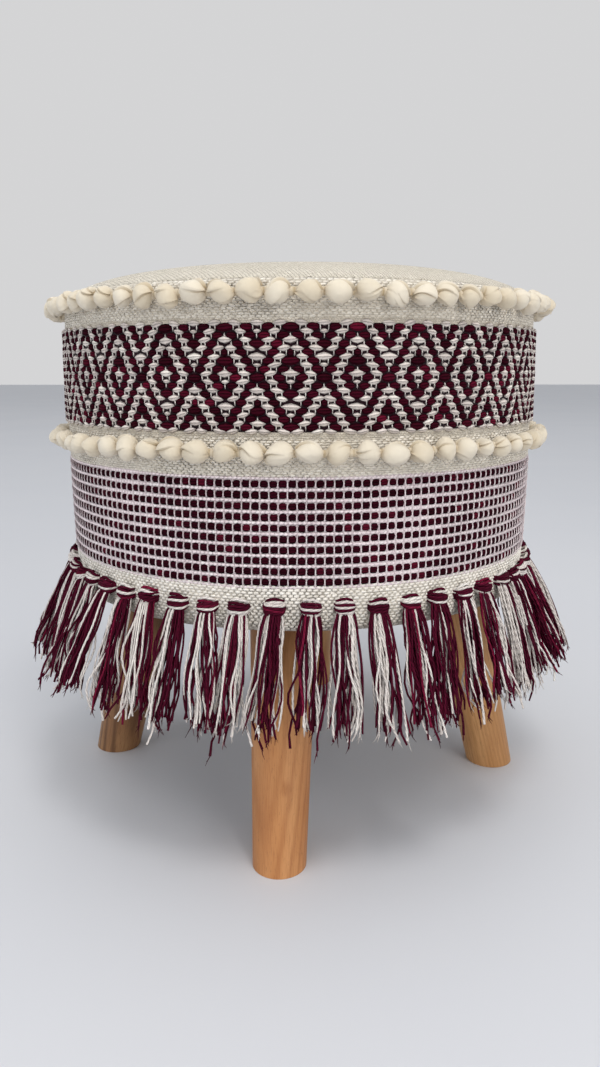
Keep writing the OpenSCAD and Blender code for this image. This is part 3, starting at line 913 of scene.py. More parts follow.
@cache
def round_the_drum() -> NodeTree:
    """Repeats one motif along the cloth, puts a copy on each of its points and wraps it all round the drum.

    Returns:
        The node tree.
    """
    takes = {
        "Geometry": "Geometry", "Collection": "Copies", "Material": "Material", "Int": "Repeats, Seed",
        "Vector": "Drift, Turn Spread", "Float": "Repeat Length, Wrap Radius, Drum Radius, Swell, Middle, "
        "Half Height, Hem Line, Hem Roll, Shoulder Line, Shoulder, Waviness, Size Spread",
    }
    s, i, o = group_sketch("round_the_drum", takes, {"Geometry": "Geometry"}, "Geometry")

    def random(low: Any, high: Any, form: str, offset: int) -> Socket:
        """Adds a seeded random value for each element.

        Args:
            low, high: the range.
            form: FLOAT, INT or FLOAT_VECTOR.
            offset: keeps it apart from the tree's other random values.

        Returns:
            The value.
        """
        first, last, result = {"FLOAT_VECTOR": (0, 1, 0), "FLOAT": (2, 3, 1), "INT": (4, 5, 2)}[form]
        values = {first: low, last: high, "Seed": s.math("ADD", i["Seed"], float(offset))}
        return s.node("FunctionNodeRandomValue", values, data_type=form).outputs[result]

    def named(name: str) -> Socket:
        """Reads a vector attribute of the motif."""
        return s.result("GeometryNodeInputNamedAttribute", {"Name": name}, data_type="FLOAT_VECTOR")

    def either_way(spread: Socket, offset: int) -> Socket:
        """Adds a random vector up to a spread, either way."""
        back = s.vector("MULTIPLY", spread, (-1.0, -1.0, -1.0))
        return random(back, spread, "FLOAT_VECTOR", offset)

    values = {"Count": i["Repeats"], "Offset": s.joined(i["Repeat Length"], 0.0, 0.0)}
    line = s.result("GeometryNodeMeshLine", values, mode="OFFSET")
    motifs = s.result("GeometryNodeInstanceOnPoints", {"Points": line, "Instance": i["Geometry"]})
    spots = s.result("GeometryNodeRealizeInstances", {0: motifs})
    position = s.result("GeometryNodeInputPosition")
    wave = s.noise(s.vector("MULTIPLY", position, (26.0, 1.0, 90.0)), 1.0, 1.0)
    rise = s.math("MULTIPLY", s.math("SUBTRACT", wave, 0.5), i["Waviness"])
    shift = s.vector("ADD", either_way(i["Drift"], 0), s.joined(0.0, 0.0, rise))
    moved = s.result("GeometryNodeSetPosition", {"Geometry": spots, "Offset": shift})
    values = {"Geometry": moved, "Name": "tone", "Value": random(0.0, 1.0, "FLOAT", 1)}
    toned = s.result("GeometryNodeStoreNamedAttribute", values, data_type="FLOAT", domain="POINT")
    smallest = s.math("SUBTRACT", 1.0, i["Size Spread"])
    largest = s.math("ADD", 1.0, i["Size Spread"])
    spread = s.joined(*(random(smallest, largest, "FLOAT", offset) for offset in (2, 3, 4)))
    placed = s.result("GeometryNodeInstanceOnPoints", {
        "Points": toned, "Instance": s.result("GeometryNodeCollectionInfo", {0: i["Copies"], 1: True, 2: True}),
        "Pick Instance": True, "Instance Index": random(0, 999, "INT", 6),
        "Rotation": s.vector("ADD", named("turn"), either_way(i["Turn Spread"], 5)),
        "Scale": s.vector("MULTIPLY", named("size"), spread),
    })
    solid = s.result("GeometryNodeRealizeInstances", {0: placed})
    x, y, z = s.parts(position)
    angle = s.math("ADD", s.math("DIVIDE", x, i["Wrap Radius"]), FRONT)
    rise = s.math("DIVIDE", s.math("SUBTRACT", z, i["Middle"]), i["Half Height"])
    bulge = s.math("MAXIMUM", s.math("SUBTRACT", 1.0, s.math("MULTIPLY", rise, rise)), 0.0)
    bulge = s.math("MULTIPLY", bulge, i["Swell"])
    reach = s.math("ADD", s.math("ADD", i["Drum Radius"], bulge), y)
    below, above = s.math("SUBTRACT", i["Hem Line"], z), s.math("SUBTRACT", z, i["Shoulder Line"])
    for over, roll in ((below, i["Hem Roll"]), (above, i["Shoulder"])):
        share = s.math("MINIMUM", s.math("DIVIDE", over, roll, clamp=True), 0.97)
        left = s.math("SQRT", s.math("SUBTRACT", 1.0, s.math("MULTIPLY", share, share)))
        reach = s.math("SUBTRACT", reach, s.math("MULTIPLY", roll, s.math("SUBTRACT", 1.0, left)))
    wrapped = s.joined(*(s.math("MULTIPLY", reach, s.math(way, angle)) for way in ("COSINE", "SINE")), z)
    bent = s.result("GeometryNodeSetPosition", {"Geometry": solid, "Position": wrapped})
    return finished(s, o, bent, i["Material"])


@cache
def spun_strands() -> NodeTree:
    """Sweeps a round strand along each polyline, by its attribute thickness.

    Returns:
        The node tree.
    """
    takes = {"Geometry": "Geometry", "Int": "Sides", "Material": "Material"}
    s, i, o = group_sketch("spun_strands", takes, {"Geometry": "Geometry"}, "Geometry")
    line = s.result("GeometryNodeMeshToCurve", {0: i["Geometry"]})
    ring = s.result("GeometryNodeCurvePrimitiveCircle", {"Resolution": i["Sides"], "Radius": 1.0}, mode="RADIUS")
    values = {"Geometry": ring, "Name": "round", "Value": s.result("GeometryNodeInputPosition")}
    ring = s.result("GeometryNodeStoreNamedAttribute", values, data_type="FLOAT_VECTOR", domain="POINT")
    thick = s.result("GeometryNodeInputNamedAttribute", {"Name": "thickness"}, data_type="FLOAT")
    values = {"Curve": line, "Profile Curve": ring, "Scale": thick, "Fill Caps": True}
    return finished(s, o, s.result("GeometryNodeCurveToMesh", values), i["Material"])


def copy_set(name: str, shapes: Sequence[Object]) -> Collection:
    """Puts the shapes to be repeated in a collection of their own, out of the scene.

    Args:
        name: the collection's name.
        shapes: the shapes.

    Returns:
        The collection.
    """
    made = bpy.data.collections.new(name)
    for shape in shapes:
        bpy.context.scene.collection.objects.unlink(shape)
        made.objects.link(shape)
    return made


@dataclass
class Motif:
    """Places of one repeat in flat cloth coordinates: along the cloth, out of it, and height."""

    places: list[Triple] = field(default_factory=list)
    sizes: list[Triple] = field(default_factory=list)
    turns: list[Triple] = field(default_factory=list)

    def add(self, place: Triple, size: Triple, turn: Triple = (0, 0, 0)) -> None:
        """Adds one copy.

        Args:
            place: where it lies.
            size: its size along, out of and up the cloth.
            turn: its turn about those three, in radians.
        """
        self.places.append(place)
        self.sizes.append(size)
        self.turns.append(turn)

    def source(self) -> Object:
        """Makes the point mesh that the tree starts from.

        Returns:
            The points, with their sizes and turns.
        """
        made = mesh_piece("motif", self.places, [])
        set_attribute(made.data, "size", self.sizes)
        set_attribute(made.data, "turn", self.turns)
        return made


def spindle(
    name: str, sides: int, stations: Sequence[float], blunt: float, ridges: float = 0.0, back: float = 0.3
) -> Object:
    """A unit yarn float along X: pointed ends, rounded face towards +Y and a flatter back.

    Args:
        name: the shape's name.
        sides: corners of its cross-section.
        stations: where its rings lie, from -1 to 1.
        blunt: power of the taper, larger for blunter ends.
        ridges: how deep the strands show in the outline.
        back: depth of the back as a share of the face's.

    Returns:
        The shape, one long, one high and one deep.
    """
    t, a = np.meshgrid(stations, turns_of(sides), indexing="ij")
    r = (1 - np.abs(t) ** blunt) ** 0.75 * (1 + ridges * np.cos(sides / 2 * a))
    out = r * np.sin(a) * np.where(np.sin(a) > 0, 1.0, back)
    rings = np.stack([t / 2, out, 0.5 * r * np.cos(a)], -1).reshape(-1, 3)
    about = np.stack([np.cos(a), np.sin(a), 0 * a], -1).reshape(-1, 3)
    count = len(rings)
    faces = tube(len(stations), sides) + fan(0, sides, count) + fan(count - sides, sides, count + 1)
    return closed_shape(
        name, np.vstack([rings, [(-0.5, 0, 0), (0.5, 0, 0)]]), faces,
        along=np.append((t + 1) * 4 * MM, (0, 8 * MM)), round=np.vstack([about, [(0, 1, 0), (0, 1, 0)]]),
    )


def pillow(name: str, seed: int) -> Object:
    """A unit dash of the grid: a rounded square of yarn, a little out of true.

    Args:
        name: the shape's name.
        seed: picks how it is out of true.

    Returns:
        The shape, one wide, one high and one deep.
    """
    pick = np.random.default_rng(seed)
    corners = 10
    turn = turns_of(corners, 0.5)
    squareness = (np.abs(np.cos(turn)) ** 4 + np.abs(np.sin(turn)) ** 4) ** 0.25
    reach = 0.5 / squareness * (1 + pick.uniform(-0.08, 0.08, corners))
    points = [
        (r * share * math.cos(a), depth, r * share * math.sin(a))
        for depth, share in ((-0.35, 0.96), (0.45, 1.0), (1.0, 0.62)) for r, a in zip(reach, turn)
    ]
    points.append((0.0, 1.05, 0.0))
    faces = tube(3, corners) + fan(2 * corners, corners, 3 * corners) + [tuple(range(corners))]
    along, round_it = [p[0] * 5 * MM for p in points], [(p[2] * 2, 0.7, 0.0) for p in points]
    return closed_shape(name, points, faces, along=along, round=round_it)


def cell(name: str) -> Object:
    """A unit cell of basket weave: a low rounded lump, one long, one high and one deep.

    Args:
        name: the shape's name.

    Returns:
        The shape.
    """
    ring = [(0.5, 0.0), (0.36, 0.5), (-0.36, 0.5), (-0.5, 0.0), (-0.36, -0.5), (0.36, -0.5)]
    points = [(x, -0.35, z) for x, z in ring] + [(0.52 * x, 1.0, 0.5 * z) for x, z in ring]
    faces = tube(2, 6) + [tuple(range(6, 12)), tuple(range(5, -1, -1))]
    along, round_it = [p[0] * 4 * MM for p in points], [(p[2], 0.5, 0.0) for p in points]
    return closed_shape(name, points, faces, along=along, round=round_it)


# ---- the drum form


@dataclass(frozen=True)
class Drum:
    """Outer form of the upholstered drum, in metres, which every piece on it shares.

    The hem's lowest line, the seam between side and top, and the seat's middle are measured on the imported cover.
    """

    base: float
    seam: float
    crown: float
    radius: float = 195.5 * MM
    swell: float = 2.0 * MM
    shoulder: float = 6.0 * MM
    hem_roll: float = 6.1 * MM
    cloth: float = 1.5 * MM
    turn_in: float = 19.0 * MM
    hem_height: float = 33.0 * MM
    grid_height: float = 76.0 * MM
    middle_height: float = 25.5 * MM
    lozenge_height: float = 75.5 * MM
    selvedge: float = 3.2 * MM
    dome_share: float = 0.68
    edge_power: float = 12.0
    segments: int = 260

    @classmethod
    def measured(cls) -> "Drum":
        """Takes the drum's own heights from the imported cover."""
        low, high = node_box("side_cover")
        return cls(low.z, high.z, node_box("top_cover")[1].z)

    @property
    def seam_radius(self) -> float:
        """Radius of the seam between side and top."""
        return self.radius - self.shoulder

    @property
    def hem_top(self) -> float:
        """Lower edge of the grid band."""
        return self.base + self.hem_height

    @property
    def grid_top(self) -> float:
        """Upper edge of the grid band."""
        return self.hem_top + self.grid_height

    @property
    def lozenge_low(self) -> float:
        """Lower edge of the lozenge band."""
        return self.grid_top + self.middle_height

    @property
    def lozenge_top(self) -> float:
        """Upper edge of the lozenge band."""
        return self.lozenge_low + self.lozenge_height

    @property
    def middle(self) -> float:
        """Height at which the side swells most."""
        return (self.base + self.seam) / 2

    @property
    def half_height(self) -> float:
        """From the middle of the side to its seam."""
        return (self.seam - self.base) / 2

    def bulge(self, z: float) -> float:
        """How far the side swells out at a height."""
        return self.swell * max(0.0, 1 - ((z - self.middle) / self.half_height) ** 2)

    def crown_level(self, r: Any) -> Any:
        """Height of the seat's surface at a radius.

        Args:
            r: one radius or several.

        Returns:
            The height at each.
        """
        share = np.clip(np.asarray(r) / self.seam_radius, 0, 1)
        drop = self.dome_share * share**2 + (1 - self.dome_share) * share**self.edge_power
        return self.seam + (self.crown - self.seam) * (1 - drop)


@dataclass(frozen=True)
class Row:
    """Equal repeats that close round the drum: their number, the radius that keeps their length, and their start."""

    repeats: int
    radius: float
    start: float = 0.0

    @property
    def step(self) -> float:
        """Length of one repeat along the cloth."""
        return FULL_TURN * self.radius / self.repeats


@dataclass(frozen=True)
class Looseness:
    """How far copies stray: in place, in slow waves, and in turn."""

    drift: Triple
    waviness: float
    turn: Triple = (0.0, 0.07, 0.0)


class Copies(NamedTuple):
    """Small shapes that are laid round the drum as one piece, and the shape of each is picked by the seed."""

    name: str
    motif: Motif
    shapes: list[Object]
    finish: Finish
    slot: Slot
    size_spread: float
    seed: int
    stands_for: tuple[str, ...] = ()

    def lay(self, drum: Drum, row: Row, loose: Looseness) -> Object:
        """Repeats the motif round the drum and keeps the piece.

        Args:
            drum: the drum's form.
            row: how the repeats close on the turn.
            loose: how far the copies stray.

        Returns:
            All copies as one piece.
        """
        piece = run_tree(self.motif.source(), round_the_drum(), self.name, {
            "Copies": copy_set(f"{self.name}_shapes", self.shapes), "Material": self.finish.material(),
            "Repeats": row.repeats, "Repeat Length": row.step, "Wrap Radius": row.radius,
            "Drum Radius": drum.radius, "Swell": drum.swell, "Middle": drum.middle, "Half Height": drum.half_height,
            "Hem Line": drum.base + drum.hem_roll, "Hem Roll": drum.hem_roll,
            "Shoulder Line": drum.seam - drum.shoulder, "Shoulder": drum.shoulder, "Seed": self.seed,
            "Drift": loose.drift, "Waviness": loose.waviness, "Turn Spread": loose.turn,
            "Size Spread": self.size_spread,
        })
        piece.data.transform(Matrix.Rotation(row.start, 4, "Z"))
        return keep(piece, self.slot, *self.stands_for)


def keep(piece: Object, slot: Slot, *stands_for: str) -> Object:
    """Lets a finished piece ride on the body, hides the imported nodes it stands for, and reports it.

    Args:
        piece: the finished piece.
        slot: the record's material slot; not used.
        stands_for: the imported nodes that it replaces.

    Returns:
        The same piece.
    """
    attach(piece, ROOT)
    if stands_for:
        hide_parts(*stands_for)
    triangles = sum(len(face.vertices) - 2 for face in piece.data.polygons)
    LOG.info("%s: %d triangles, stands for %s", piece.name, triangles, ", ".join(stands_for) or "nothing")
    return piece


# ---- upholstery


class Ground(Enum):
    """Ground finishes of the side cloth, in the order of their numbers on the mesh."""

    TOP = RIBBED_COTTON
    PLAIN = BASKET_COTTON
    LOZENGE = LOZENGE_GROUND
    GRID = GRID_GROUND

    @property
    def number(self) -> int:
        """The ground's number on the mesh."""
        return list(Ground).index(self)


@dataclass
class SideCloth:
    """The woven side of the cover, from the top seam down to its edge turned in under the base."""

    drum: Drum
    lozenge_rise: float = 1.1 * MM
    ring_step: float = 3.0 * MM
    seam_reach: float = 9 * MM
    hem_reach: float = 10 * MM
    unevenness: float = 0.45 * MM
    pucker: float = 0.35 * MM
    seam_ripple: float = 0.25 * MM

    def ground(self, z: float) -> Ground:
        """Which ground is woven at a height.

        Args:
            z: the height.

        Returns:
            The ground.
        """
        d = self.drum
        if d.hem_top <= z < d.grid_top:
            return Ground.GRID
        if z < d.lozenge_low:
            return Ground.PLAIN
        return Ground.LOZENGE if d.lozenge_low + d.selvedge < z < d.lozenge_top - d.selvedge else Ground.TOP

    def outline(self, inset: float) -> list[Pair]:
        """Draws the outline from the seam down to the turned-in edge.

        Args:
            inset: how deep it lies inside the outer face; an inner line has fewer corners.

        Returns:
            Radius and height of each corner.
        """
        d = self.drum
        high, low = d.seam - d.shoulder, d.base + d.hem_roll
        edges = [d.lozenge_top - d.selvedge, d.lozenge_low + d.selvedge, d.grid_top, d.hem_top]
        levels = np.linspace(high, low, int((high - low) / (self.ring_step * (3 if inset else 1))) + 1)[1:-1]
        side = []
        for z in np.sort(np.concatenate([levels, edges]))[::-1]:
            rise = self.lozenge_rise if not inset and d.lozenge_low < z < d.lozenge_top else 0.0
            side.append((d.radius + d.bulge(z) + rise - inset, float(z)))
        shoulder = arc((d.seam_radius, high), d.shoulder - inset, 90, 4, 7)
        hem = arc((d.radius - d.hem_roll, low), d.hem_roll - inset, -4, -90, 7)
        return shoulder + side + hem + [(d.radius - d.turn_in, d.base + inset)]

    def wobble(self, turn: Any, radius: Any, level: Any) -> tuple[Any, Any]:
        """Slight unevenness of cloth over wadding, gathered a little at the seam and the hem.

        Args:
            turn, radius, level: places on the cloth.

        Returns:
            Offsets in radius and in height.
        """
        near_seam = np.exp(-np.abs(level - self.drum.seam) / self.seam_reach)
        near_hem = np.exp(-np.abs(level - self.drum.base) / self.hem_reach)
        slow = self.unevenness * soft_noise(turn, level * 40, 3)
        puckers = self.pucker * soft_noise(turn * 5, level * 20, 4, 7, 20) * (near_seam + near_hem)
        return slow + puckers, self.seam_ripple * near_seam * soft_noise(turn * 3, level, 5)

    def build(self, woven_on: Sequence[Object]) -> Object:
        """Args:
            woven_on: pieces that go with the cloth; not used.

        Returns:
            The cloth.
        """
        d = self.drum
        outer = self.outline(0.0)
        outline = outer + self.outline(d.cloth)[::-1]
        zones = [self.ground((a[1] + b[1]) / 2).number for a, b in zip(outer, outer[1:])]
        zones += [Ground.PLAIN.number] * (len(outline) - len(zones))
        finishes = [ground.value for ground in Ground]
        piece = turned("side_cloth", outline, d.segments, d.radius, finishes, zones, self.wobble)
        keep(piece, Slot.SIDE_CLOTH, "side_cover")
        return piece


class Box(NamedTuple):
    """An upright rectangle in plan."""

    x0: float
    y0: float
    x1: float
    y1: float

    def holds(self, x: float, y: float, slack: float = 0.1 * MM) -> bool:
        """Whether a point lies in the rectangle or just beside it."""
        return self.x0 - slack < x < self.x1 + slack and self.y0 - slack < y < self.y1 + slack

    def away(self, x: float, y: float) -> float:
        """How far a point lies from the nearest upright side and the nearest level one together."""
        return min(abs(x - self.x0), abs(x - self.x1)) + min(abs(y - self.y0), abs(y - self.y1))


@dataclass
class Upholstery:
    """Soft layers under the cover, the top panel, and the cloth that closes the underside."""

    drum: Drum
    wadding: float = 4.0 * MM
    gap: float = 0.3 * MM
    panel: float = 1.4 * MM
    panel_rings: int = 46
    lower_rings: int = 30
    pucker: float = 0.5 * MM
    swells: float = 0.5 * MM
    seam_reach: float = 16 * MM
    calm_middle: float = 60 * MM
    panel_tuck: float = 0.4 * MM
    foam_edge: float = 6 * MM
    rings: int = 24
    sag: float = 1.6 * MM
    sag_reach: float = 60 * MM
    sag_waves: Pair = (60.0, 50.0)
    rise_width: float = 8 * MM
    dust_cloth: float = 0.7 * MM
    dust_lift: float = 0.8 * MM
    dust_step: float = 11 * MM
    dust_rim: int = 120
    rim_clear: float = 4 * MM
    cut_margin: float = 1.5 * MM

    def crown_line(self, reach: float, depth: float, rings: int) -> list[Pair]:
        """Points of the crown from the axis to a radius, a depth below the surface."""
        share = np.linspace(0, 1, rings + 1) ** 0.7
        return [(float(r), float(self.drum.crown_level(r)) - depth) for r in reach * share]

    def ruffle(self, turn: Any, radius: Any, level: Any) -> tuple[Any, Any]:
        """Faint puckers of the top panel near its seam and slow swells over the foam.

        Args:
            turn, radius, level: places on the panel.

        Returns:
            Offsets in radius and in height.
        """
        near = np.exp(-(self.drum.seam_radius - radius) / self.seam_reach)
        slow = self.swells * soft_noise(turn, radius * 30, 11, 7, 5) * np.clip(radius / self.calm_middle, 0, 1)
        puckers = self.pucker * near * soft_noise(turn * 4, radius * 60, 12, 9, 22)
        return np.zeros_like(radius), slow * (1 - near) + puckers

    def top_panel(self) -> Object:
        """The plain panel that closes the top, drawn down to its seam.

        Returns:
            The panel.
        """
        d = self.drum
        reach = d.seam_radius - self.gap
        upper = self.crown_line(reach, 0.0, self.panel_rings)
        lower = self.crown_line(reach - self.panel_tuck, self.panel, self.lower_rings)[::-1]
        piece = turned("top_panel", upper + lower, d.segments, reach, [TOP_TWILL], wobble=self.ruffle)
        keep(piece, Slot.TOP_CLOTH, "top_cover")
        return piece

    def padding(self) -> None:
        """Builds the foam and both layers of wadding, which show only where the cover is taken off."""
        d, gap = self.drum, self.gap
        foam_low, foam_high = node_box("seat_foam")
        reach = node_box("top_wadding")[1].x - gap
        depth = self.panel + gap
        below = d.crown - foam_high.z - gap
        top = self.crown_line(reach, depth + gap, self.rings) + self.crown_line(reach, below, self.rings)[::-1]
        edge = float(d.crown_level(reach)) - below - gap - self.foam_edge
        foam = self.crown_line(reach, below + 2 * gap, self.rings)
        foam += [(foam_high.x, edge), (foam_high.x, foam_low.z), (0.0, foam_low.z)]
        side_low, side_high = node_box("side_wadding")
        outer = side_high.x - d.swell
        inner, foot = outer - self.wadding, side_low.z + self.wadding
        side = [(outer + d.bulge(z) - gap, float(z)) for z in np.linspace(side_high.z, foot, self.rings)]
        side += arc((inner, foot), self.wadding - gap, 0, -90, 5)[1:]
        side += [(inner, side_low.z + gap), (inner, side_high.z)]
        for name, outline, segments, reference, finish, slot, node in (
            ("top_padding", top, 128, reach, WADDING, Slot.WADDING, "top_wadding"),
            ("seat_cushion", foam, 128, reach, FOAM, Slot.FOAM, "seat_foam"),
            ("side_padding", side, 160, outer, WADDING, Slot.WADDING, "side_wadding"),
        ):
            keep(turned(name, outline, segments, reference, [finish]), slot, node)

    def cut_outs(self) -> list[Box]:
        """Openings of the underside cloth round the leg plates.

        Returns:
            One rectangle for each plate.
        """
        plates = [node_box(side.plate) for side in Side]
        more = self.cut_margin
        return [Box(low.x - more, low.y - more, high.x + more, high.y + more) for low, high in plates]

    def underside_plan(self, reach: float, holes: Sequence[Box]) -> tuple[list[Vector], Faces]:
        """Lays a net of triangles over the underside and leaves the openings free.

        Args:
            reach: radius of the cloth.
            holes: its openings.

        Returns:
            The points of the net in plan, and its faces.
        """
        rim = np.linspace(0, FULL_TURN, self.dust_rim, endpoint=False)
        points = [Vector((reach * math.cos(a), reach * math.sin(a))) for a in rim]
        edges = [(k, (k + 1) % len(points)) for k in range(len(points))]
        for x0, y0, x1, y1 in holes:
            start = len(points)
            points += [Vector(p) for p in ((x0, y0), (x1, y0), (x1, y1), (x0, y1))]
            edges += [(start + k, start + (k + 1) % 4) for k in range(4)]

        def covered(x: float, y: float, limit: float) -> bool:
            """Whether cloth lies at a point within a radius."""
            return math.hypot(x, y) < limit and not any(hole.holds(x, y) for hole in holes)

        steps = np.arange(-reach, reach, self.dust_step)
        points += [Vector((x, y)) for x in steps for y in steps if covered(x, y, reach - self.rim_clear)]
        flat, _, faces, *_ = delaunay_2d_cdt(points, edges, [], 1, 1e-6)
        faces = [f for f in faces if covered(*(sum((flat[v] for v in f), Vector((0, 0))) / len(f)), reach)]
        used = sorted({v for f in faces for v in f})
        number = {v: k for k, v in enumerate(used)}
        return [flat[v] for v in used], [tuple(number[v] for v in f) for f in faces]

    def underside(self) -> Object:
        """The thin black cloth under the base, cut out round the leg plates, sagging a little between its staples.

        Returns:
            The cloth.
        """
        low, high = node_box("dust_cloth")
        reach, holes = high.x, self.cut_outs()
        flat, faces = self.underside_plan(reach, holes)
        edge_level, step_r = low.z + self.dust_lift, self.drum.radius - self.drum.turn_in
        points = []
        for x, y in flat:
            rise = min(1.0, max(0.0, (step_r - math.hypot(x, y)) / self.rise_width))
            slack = min(1.0, min(hole.away(x, y) for hole in holes) / self.sag_reach)
            waves = math.cos(x * self.sag_waves[0]) * math.cos(y * self.sag_waves[1])
            drop = self.sag * rise * slack * (0.5 + 0.5 * waves)
            points.append((x, y, edge_level + (high.z - edge_level) * rise - drop))
        piece = mesh_piece("underside_cloth", points, faces)
        thicken(piece, -self.dust_cloth)
        piece.data.materials.append(DUST_CLOTH.material())
        keep(piece, Slot.DUST_CLOTH, "dust_cloth")
        area = math.pi * reach**2 - sum((h.x1 - h.x0) * (h.y1 - h.y0) for h in holes)
        return piece


def thicken(piece: Object, depth: float) -> None:
    """Turns an open sheet into a closed one, in its mesh.

    Args:
        piece: a flat-lying sheet.
        depth: how far the second face lies, below zero for under the sheet.
    """
    mesh = piece.data
    points = [tuple(v.co) for v in mesh.vertices]
    faces = [tuple(p.vertices) if p.normal.z > 0 else tuple(p.vertices)[::-1] for p in mesh.polygons]
    count = len(points)
    sides = {pair: None for f in faces for pair in zip(f, f[1:] + f[:1])}
    under = [(x, y, z + depth) for x, y, z in points]
    solid = faces + [tuple(v + count for v in f[::-1]) for f in faces]
    solid += [(b, a, a + count, b + count) for a, b in sides if (b, a) not in sides]
    piece.data = bpy.data.meshes.new(mesh.name)
    piece.data.from_pydata(points + under, [], solid)
    piece.data.shade_smooth()
    outward(piece)


# ---- woven bands


@dataclass
class LozengeBand:
    """Kilim band of nested lozenges: burgundy and white floats over a dark ground, with white ties.

    Each row gives its floats as (place, length) in twenty-fourths of the repeat, and each is mirrored about
    the middle of the repeat.
    """

    drum: Drum
    row: Row = Row(29, 199.5 * MM, math.radians(3.4))
    loose: Looseness = Looseness((0.2 * MM, 0.12 * MM, 0.12 * MM), 0.8 * MM)
    first_row: float = 390.4 * MM
    row_step: float = 5.3 * MM
    dark_height: float = 4.95 * MM
    white_height: float = 4.45 * MM
    depth: float = 1.9 * MM
    base_out: float = 1.2 * MM
    tie_width: float = 0.72 * MM
    tie_height: float = 4.4 * MM
    tie_depth: float = 0.75 * MM
    tie_out: float = 1.6 * MM
    slim_tie: float = 0.82
    lean: float = math.radians(8)
    units: int = 24
    wide_gap: float = 1.9
    tie_inset: float = 0.35
    dark_more: float = 0.05
    white_more: float = 0.75
    middle_row: float = 6.0
    stub: float = 3.0
    short: float = 5.0
    dark_rise: Pair = (0.96, 1.08)
    white_rise: Triple = (0.66, 0.98, 1.1)
    dark_lean: float = 0.5
    dark_rows: tuple[Floats, ...] = (
        ((0, 6.3), (8, 4.3)), ((2.6, 4.1), (9.4, 4.1)), ((4.9, 4.1), (12, 5.6)), ((0, 2.4), (6.1, 4.2)),
        ((0, 6.6), (8, 4.3)), ((2.7, 4.1), (9.4, 4.1)), ((4, 4.3), (12, 5.6)), ((2.8, 4.1), (9.5, 4.1)),
        ((0, 5.6), (7.8, 4.1)), ((12, 2.3), (6, 4)), ((4, 4.3), (12, 5.6)), ((2.5, 4.1), (9.5, 4.1)),
        ((0, 6.3), (7.8, 4.3)),
    )
    white_rows: tuple[Floats, ...] = (
        ((3.8, 4.6), (12, 4.6)), ((5.8, 4.1), (12, 2.2)), ((0, 5.1), (7.8, 4.1)), ((2.3, 4.2), (9.1, 4.2)),
        ((4.2, 4.1), (12, 6.2)), ((5.8, 4.2), (12, 2.3)), ((0, 5.5), (7.2, 4.1)), ((0, 2.4), (6.5, 4.1)),
        ((12, 5.1), (4.9, 4.1)), ((9.8, 4.2), (3.1, 4.2)), ((0, 6.2), (8.4, 4.1)), ((0, 2.3), (6.5, 4.1)),
        ((12, 4.8), (4.9, 4.1)), ((2.4, 4.4), (9.6, 4.4)),
    )

    @property
    def unit(self) -> float:
        """One twenty-fourth of the repeat."""
        return self.row.step / self.units

    def mirrored(self, row: Floats) -> list[Pair]:
        """All floats of one repeat of a row, from its left to its right."""
        return sorted({(c % self.units, w) for c, w in row} | {(-c % self.units, w) for c, w in row})

    def add_float(self, motif: Motif, centre: float, width: float, row: float, height: float, share: float) -> None:
        """Adds one float, which leans along the side of its lozenge.

        Args:
            motif: where it goes.
            centre, width: its place and length, in units.
            row: its row, counted from the top.
            height: its height on the cloth.
            share: its lean, as a share of the whole lean.
        """
        half = self.units // 2
        inward = 1.0 if centre < half else -1.0
        way = 0.0 if centre in (0, half) else inward if row < self.middle_row else -inward
        place = (centre * self.unit, self.base_out, self.first_row - row * self.row_step)
        motif.add(place, (width * self.unit, self.depth, height), (0, way * self.lean * share, 0))

    def add_ties(self, motif: Motif, floats: Sequence[Pair], row: int) -> None:
        """Adds the ties between the floats of a row: one in a narrow gap, or one at each side of a wide one.

        Args:
            motif: where they go.
            floats: the row's floats, from left to right.
            row: the row, counted from the top.
        """
        following = [*floats[1:], (floats[0][0] + self.units, floats[0][1])]
        for (c0, w0), (c1, w1) in zip(floats, following):
            left, right = c0 + w0 / 2, c1 - w1 / 2
            narrow = right - left < self.wide_gap
            height = self.tie_height * (self.slim_tie if narrow else 1.0)
            for spot in [(left + right) / 2] if narrow else [left + self.tie_inset, right - self.tie_inset]:
                place = (spot * self.unit, self.tie_out, self.first_row - row * self.row_step)
                motif.add(place, (height, self.tie_depth, self.tie_width), (0, math.pi / 2, 0))

    def motifs(self) -> tuple[Motif, Motif, Motif]:
        """Places of the burgundy floats, the white floats and the white ties in one repeat.

        Returns:
            The three motifs.
        """
        dark, white, ties = Motif(), Motif(), Motif()
        for number, row in enumerate(self.dark_rows):
            floats = self.mirrored(row)
            for centre, width in floats:
                height = self.dark_height * self.dark_rise[width >= self.short]
                self.add_float(dark, centre, width + self.dark_more, number, height, self.dark_lean)
            self.add_ties(ties, floats, number)
        for number, row in enumerate(self.white_rows):
            for centre, width in self.mirrored(row):
                height = self.white_height * self.white_rise[(width >= self.stub) + (width >= self.short)]
                self.add_float(white, centre, width + self.white_more, number - 0.5, height, 1.0)
        return dark, white, ties

